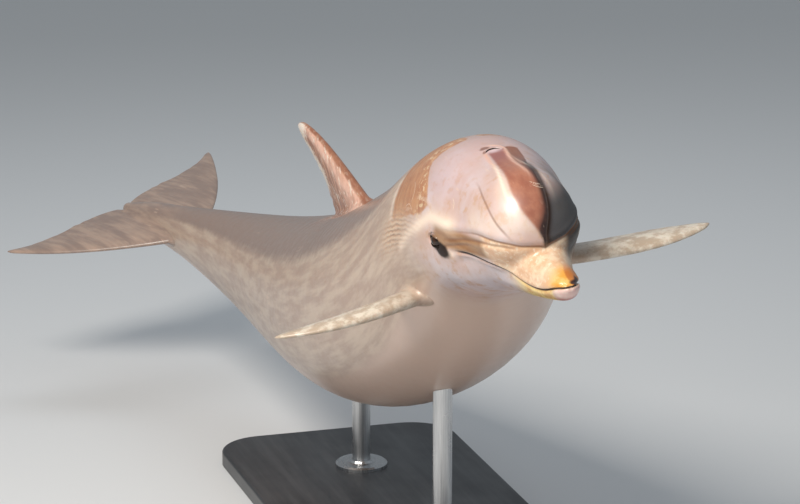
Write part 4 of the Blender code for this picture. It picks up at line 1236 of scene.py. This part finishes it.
def head_colour(look, where, broad, mottle, streaks):
    """The trunk, the head over it, then the golden cheek with its painted shade, the tan patch, and the pale
    marks with their painted highlights.
    """
    mark, ragged = look.mark, look.ragged
    trunk = look.coats(look.mottled(streaks, 0.35, 0.68, TAUPE, TAUPE_PALE),
                       (ragged("back", mottle, 0.35), TAUPE_DARK), (ragged("belly", broad, 0.30), BELLY))
    head = look.coats(look.mottled(broad, 0.35, 0.66, LILAC, ROSE),
                      (look.graded(mottle, 0.50, 0.68, 0.0, 0.75), TAWNY),
                      (mark("rosy", 0.60), HEAD_ROSY), (mark("tawny", 0.55), TAWNY))
    rings = look.noise(where, 95.0, 4.0, 0.6, (0.5, 1.0, 0.22))
    tan = look.mottled(rings, 0.30, 0.72, TAN_PATCH, TAN_PALE)
    blotch = look.times(mark("rim"), look.graded(look.noise(where, 110.0), 0.52, 0.60))
    return look.coats(
        trunk, (mark("head"), head),
        (mark("gold_and_shade"), look.mottled(streaks, 0.35, 0.65, SHADED_GOLD, GOLD_PALE)),
        (look.times(ragged("patch", mottle, 0.8), 0.92), tan),
        (look.times(mark("cream_and_highlight"), look.graded(streaks, 0.15, 0.6, 0.75, 1.0)), CREAM),
        (look.times(blotch, 0.7), RIM_SAND))


def band_colour(look, colour, mottle, streaks):
    """The dark band laid on a colour, with its painted shade, its ridge, the pale leaf beside it brightened
    by a painted highlight, and the pale streak.
    """
    mark = look.mark
    # the band's painted shade, with its darker part beside the ridge
    dark = look.times(mark("band_dark_and_shade"), look.graded(streaks, 0.25, 0.6, 0.75, 1.0))
    band = look.coats(look.mottled(streaks, 0.32, 0.70, BAND, BAND_PALE),
                      (mark("band_top"), BAND_TOP), (dark, BAND_DARK_AND_SHADE))
    return look.coats(
        colour, (look.ragged("band", mottle, 0.35, 0.10, 0.90, 0.2), band),
        (mark("ridge", 0.9), BAND_PINK), (mark("pale_leaf_and_highlight", 0.42), CREAM),
        (mark("streak", 0.9), look.mottled(mark("streak_run"), 0.15, 0.45, CREAM_RIDGE, CREAM)))


def beak_colour(look, colour, where, broad, mottle):
    """The pale spotted jaw, the orange of the beak with painted shade on its far side and tip, and the yellow
    and pink chin with a rosy painted shade under it.
    """
    mark, ragged = look.mark, look.ragged
    spots = look.graded(look.noise(where, 130.0, 2.0, 0.5), 0.56, 0.68)
    jaw = look.coats(look.mottled(mottle, 0.40, 0.66, PEACH, PEACH_PALE),
                     (look.times(spots, 0.55), JAW_SPOTS))
    warm = look.coats(look.mottled(mottle, 0.40, 0.62, AMBER, ORANGE),
                      (look.times(ragged("orange_shade", mottle, 0.5), 0.85), ORANGE_SHADE))
    return look.coats(
        colour, (ragged("jaw", broad, 0.2), jaw), (ragged("orange", mottle, 0.7, 0.05, 0.95, 0.1), warm),
        (mark("chin"), look.mottled(mottle, 0.42, 0.66, CHIN_YELLOW, CHIN_OCHRE)),
        (mark("chin_pink"), look.mottled(mottle, 0.50, 0.66, CHIN_PINK, CHIN_PALE)),
        (mark("chin_rosy_shade"), CHIN_SHADE), (ragged("tip_shade", mottle, 0.5), TIP_SHADE))


def dorsal_colour(look, where, mottle):
    """Red-brown with darker streaks up the blade, a painted pink highlight along the leading side, a dark
    painted shade on the leading edge, and a worn pale rear edge and tip.
    """
    graded, times = look.graded, look.times
    streaks = look.noise(where, 80.0, 5.0, 0.62, (1.0, 1.0, 0.30))
    span, chord = look.mark("span"), look.mark("chord")
    # a painted highlight in a pink stripe just behind the leading edge
    pink = times(graded(chord, 0.14, 0.36, 1.0, 0.0), graded(chord, 0.01, 0.06))
    lines = graded(look.noise(where, 170.0, 3.0, 0.6, (1.0, 0.7, 0.22)), 0.56, 0.63)
    worn = times(graded(chord, 0.35, 0.80), graded(span, 0.30, 0.60))
    worn = look.math("MAXIMUM", worn, graded(span, 0.74, 0.96))
    swirls = look.noise(where, 120.0, 3.0, 0.6)
    return look.coats(
        look.mottled(streaks, 0.36, 0.58, FIN_RED, FIN_DARK),
        (times(pink, graded(mottle, 0.40, 0.60, 0.55, 0.95)), FIN_HIGHLIGHT), (times(lines, 0.7), FIN_PALE),
        (look.ragged(times(worn, 0.9), swirls, 1.6), FIN_PALE),
        # painted shade: a dark line on the leading edge itself
        (graded(chord, 0.0, 0.05, 0.85, 0.0), FIN_DARK))


def skin_colour(look, where, broad, mottle, streaks):
    """Colours of the trunk and head, then the band, the beak and the fins, then painted shade on the far
    side, along the lines, in the mouth and round the eye last.
    """
    mark, graded, times, noise = look.mark, look.graded, look.times, look.noise
    colour = head_colour(look, where, broad, mottle, streaks)
    colour = band_colour(look, colour, mottle, streaks)
    colour = beak_colour(look, colour, where, broad, mottle)
    # the flipper darkens towards its root as painted shade where it meets the body
    sand = look.coats(look.mottled(noise(where, 38.0, 5.0, 0.65), 0.40, 0.62, FLIPPER_SAND, FLIPPER_PALE),
                      (graded(mark("span"), 0.05, 0.45, 0.55, 0.0), FLIPPER_ROOT_SHADE))
    rakes = graded(noise(where, 120.0, 2.0, 0.5, (1.0, 0.10, 0.5)), 0.66, 0.72)
    raked = graded(noise(where, 7.0, 2.0, 0.5), 0.50, 0.62)
    colour = look.coats(
        colour, (mark("dorsal"), dorsal_colour(look, where, mottle)),
        (mark("fluke"), look.mottled(streaks, 0.35, 0.7, TAUPE_DARK, TAUPE)), (mark("flipper"), sand),
        (times(times(rakes, raked), 0.35), RAKE_PALE), (mark("shade", 0.92), SHADE),
        (mark("edge_shade", 0.95), DEEP_SHADE))
    # painted shade along the crease, the folds and the thin line
    for line in ("crease", "fold", "pouch", "thin"):
        colour = look.paint(look.drawn(line), colour, FOLD_SHADE)
    # painted shade: a near-black line in the groove between the jaws
    mouth_line_shade = graded(look.math("ABSOLUTE", mark("mouth")), 0.0006, 0.0028, 1.0, 0.0)
    return look.coats(
        colour, (look.drawn("scar"), SCAR_PALE), (times(look.ragged("blowhole_shade", mottle, 0.7), 0.75), BLOWHOLE_SHADE),
        (mark("blow_lip", 0.7), LIP_LILAC), (times(mouth_line_shade, mark("mouth_end")), DEEP_SHADE),
        (times(look.ragged("under_eye_shade", mottle, 0.4, 0.10, 0.85, 0.15), 0.97), UNDER_EYE_SHADE), (mark("rim_and_hollow_shade"), RIM_AND_HOLLOW_SHADE))


def skin_material():
    """Wet skin: procedural colours, fine grain and wrinkles on the neck with painted shade in their folds,
    under a clear wet coat.

    The dark lid rims and the painted shade on the far side, under the eye and in the hollows are duller, so
    that they stay dark where the light grazes them.
    """
    look = Finish("wet_skin")
    graded, times, noise, mark = look.graded, look.times, look.noise, look.mark
    where = look.add("Attribute", "Vector", {}, attribute_name="place")
    broad, mottle = noise(where, 9.0, 4.0, 0.6), noise(where, 46.0, 5.0, 0.62)
    fine, streaks = noise(where, 210.0, 4.0, 0.6), noise(where, 60.0, 4.0, 0.55, (1.0, 0.16, 1.0))
    slanted = look.add("Mapping", 0, {"Vector": where, "Rotation": (-0.20, 0.0, 0.0)})
    cords = look.add("TexWave", "Fac", {"Vector": slanted, "Scale": 36.0, "Distortion": 3.0, "Detail": 2.0,
                                        "Detail Scale": 1.4}, wave_type="BANDS", bands_direction="Z")
    wrinkle = times(look.math("POWER", cords, 1.5), mark("neck"))
    # the neck is pale, and its folds are darkened as painted shade
    colour = look.coats(skin_colour(look, where, broad, mottle, streaks),
                        (mark("neck", 0.8), NECK_SAND), (times(wrinkle, 0.75), NECK_FOLD_SHADE))
    dull = look.math("MAXIMUM", mark("shade"), look.math("MAXIMUM", mark("under_eye_shade"), mark("rim_and_hollow_shade")))
    normal = look.bump(fine, 0.12, 0.0006)
    normal = look.bump(mottle, 0.18, 0.0014, normal)
    normal = look.bump(times(wrinkle, -1.0), 0.8, 0.0016, normal)
    for line in ("crease", "fold", "pouch"):
        normal = look.bump(times(look.drawn(line), -1.0), 0.35, 0.0010, normal)
    return look.finished(
        Base_Color=colour, Roughness=graded(mottle, 0.3, 0.7, 0.34, 0.48), Normal=normal,
        IOR=graded(dull, 0.0, 1.0, 1.5, 1.1), Coat_Weight=graded(dull, 0.0, 1.0, 0.55, 0.10),
        Coat_Roughness=0.24, Subsurface_Weight=0.05, Subsurface_Radius=(0.012, 0.005, 0.003),
        Subsurface_Scale=1.0)


def eye_material(centre, out, up):
    """A dark wet eye: near-black ball with a brown iris ring round a wide pupil, by distance from its axis.

    That distance is sqrt(length^2 - axial^2), and the pupil is an oval that is lower than it is wide.
    """
    look = Finish("wet_eye")
    where = look.add("TexCoord", "Object", {})
    shifted = look.vector("SUBTRACT", 0, where, tuple(centre))
    axial, height = (look.vector("DOT_PRODUCT", "Value", shifted, tuple(way)) for way in (out, up))
    length = look.vector("LENGTH", "Value", shifted)
    off = look.math("SQRT", look.math("SUBTRACT", look.times(length, length), look.times(axial, axial)))
    tall = look.math("MULTIPLY_ADD", look.math("ABSOLUTE", height), 0.6, off)
    iris = look.paint(look.noise(where, 900.0, 3.0, 0.6), IRIS, IRIS_DARK)
    colour = look.mottled(off, 0.0078, 0.0088, look.mottled(tall, 0.0040, 0.0050, PUPIL, iris), EYE_WHITE)
    return look.finished(Base_Color=colour, Roughness=0.10, Specular_IOR_Level=0.3, Coat_Weight=0.35,
                         Coat_Roughness=0.02)


def board_material():
    """Dark satin lacquer over fine open grain that runs along the base."""
    look = Finish("dark_lacquer")
    where = look.add("TexCoord", "Object", {})
    grain, cloud = look.noise(where, 55.0, 5.0, 0.6, (1.0, 0.06, 1.0)), look.noise(where, 6.0, 3.0, 0.5)
    return look.finished(
        Base_Color=look.mottled(grain, 0.35, 0.70, LACQUER, LACQUER_PALE),
        Roughness=look.graded(cloud, 0.3, 0.7, 0.34, 0.46), Normal=look.bump(grain, 0.12, 0.0006),
        Coat_Weight=0.25, Coat_Roughness=0.25)


def steel_material():
    """Satin steel with fine drawn lines along the rod and a faint cloudiness."""
    look = Finish("satin_steel")
    where = look.add("TexCoord", "Object", {})
    lines, cloud = look.noise(where, 420.0, 3.0, 0.6, (1.0, 1.0, 0.02)), look.noise(where, 14.0, 3.0, 0.5)
    return look.finished(
        Base_Color=look.mottled(lines, 0.3, 0.7, STEEL, STEEL_PALE), Metallic=1.0,
        Roughness=look.graded(cloud, 0.3, 0.7, 0.24, 0.34), Normal=look.bump(lines, 0.10, 0.0002))


# ---- eyeballs ---------------------------------------------------------
CORNEA = (0.05, 0.55)       # how far it bulges, as a share of the radius, and its spread in radians
EYE_GRID = (29, 44)         # rings from pole to pole, and points round each


def eyeball(side, name):
    """A ball of latitude and longitude about its line of sight, with a low cornea.

    Its radius is EYE_RADIUS (1 + bulge e^-(polar angle/spread)^4).
    """
    on_skin, _, up, out = eye_frame(side)
    centre = on_skin - EYE_DEPTH * out
    polar = np.linspace(0, np.pi, EYE_GRID[0])[:, None, None]
    around = np.linspace(0, 2 * np.pi, EYE_GRID[1] + 1)[None, :-1, None]
    reach = EYE_RADIUS * (1 + CORNEA[0] * np.exp(-(polar / CORNEA[1])**4))
    across = np.cos(around) * up + np.sin(around) * np.cross(out, up)
    points = posed(centre + reach * (np.cos(polar) * out + np.sin(polar) * across))
    quads = woven(np.arange(EYE_GRID[0] * EYE_GRID[1]).reshape(EYE_GRID)).reshape(-1, 4)
    middle = posed(centre)
    ahead, above = (unit(posed(centre + 0.01 * way) - middle) for way in (out, up))
    data = quad_mesh(name, points.reshape(-1, 3), quads)
    return finish_mesh(name, data, eye_material(middle, ahead, above))


# ---- the set ----------------------------------------------------------
CAMERA_AT = (-1.92544, -6.21979, 2.33398)
CAMERA_BACK = (-0.28301661, -0.92332086, 0.25957696)
LENS, SENSOR = 153.22, 36.0     # mm
FLOOR_HALF, FLOOR_LOW = 30.0, -0.0005
WORLD_STRENGTH = 0.31
LIT_AT = (-0.1, -0.75, 0.8)
# Name, place, what it is turned to, size, watts, colour, and whether it shows in reflections.
LIGHTS = (("key", (-2.25, -1.75, 3.55), LIT_AT, (1.5, 1.5), 172.0, (1.0, 0.94, 0.86), True),
          ("fill", (3.2, -2.8, 1.8), LIT_AT, (2.4, 2.0), 6.0, (0.75, 0.88, 1.0), True),
          ("back", (0.6, 2.8, 3.2), (0, -0.5, 0.8), (2.6, 1.2), 26.0, (0.88, 0.94, 1.0), False))


def set_camera():
    """The camera, looking slightly down at the head from the animal's right."""
    data = bpy.data.cameras.new("camera")
    data.sensor_width, data.lens = SENSOR, LENS
    bpy.context.scene.camera = placed("camera", data, CAMERA_AT, CAMERA_BACK)


def set_floor():
    """A pale floor of one large quad, a hair under the base."""
    data = bpy.data.meshes.new("floor")
    corners = ((-1, -1), (1, -1), (1, 1), (-1, 1))
    data.from_pydata([(FLOOR_HALF * x, FLOOR_HALF * y, FLOOR_LOW) for x, y in corners], [], [(0, 1, 2, 3)])
    data.materials.append(Finish("pale_floor").finished(Base_Color=FLOOR_GREY, Roughness=0.65))
    placed("floor", data)


def set_light():
    """A warm key from the animal's right, a weak cool fill opposite, one behind, and a pale room."""
    world = bpy.data.worlds.new("studio")
    bpy.context.scene.world = world
    world.use_nodes = True
    background = world.node_tree.nodes["Background"]
    background.inputs["Color"].default_value = ROOM_BLUE
    background.inputs["Strength"].default_value = WORLD_STRENGTH
    for name, place, aim, size, watts, colour, mirrored in LIGHTS:
        data = bpy.data.lights.new(name, "AREA")
        data.shape = "RECTANGLE"
        data.size, data.size_y = size
        data.energy, data.color = watts, colour
        placed(name, data, place, Vector(place) - Vector(aim)).visible_glossy = mirrored


# ---- putting it together ----------------------------------------------
set_camera()
skin_piece = skin_object(skin_material())
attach(skin_piece, "root")
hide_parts("beak_upper", "head", "lower_jaw", "neck", "chest", "loin", "tail_root", "tail_stock",
            "dorsal_fin", "flipper_left", "flipper_right", "fluke_left", "fluke_right")
for side, label in ((1, "eye_left"), (-1, "eye_right")):
    ball = eyeball(side, label + "_ball")
    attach(ball, "root")
    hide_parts(label)

board, steel = board_material(), steel_material()
for label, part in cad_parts.items():
    if label.startswith("stand_"):
        part.data.materials.clear()
        part.data.materials.append(board if label == "stand_base" else steel)
set_floor()
set_light()
bpy.context.scene.view_settings.view_transform = "Standard"
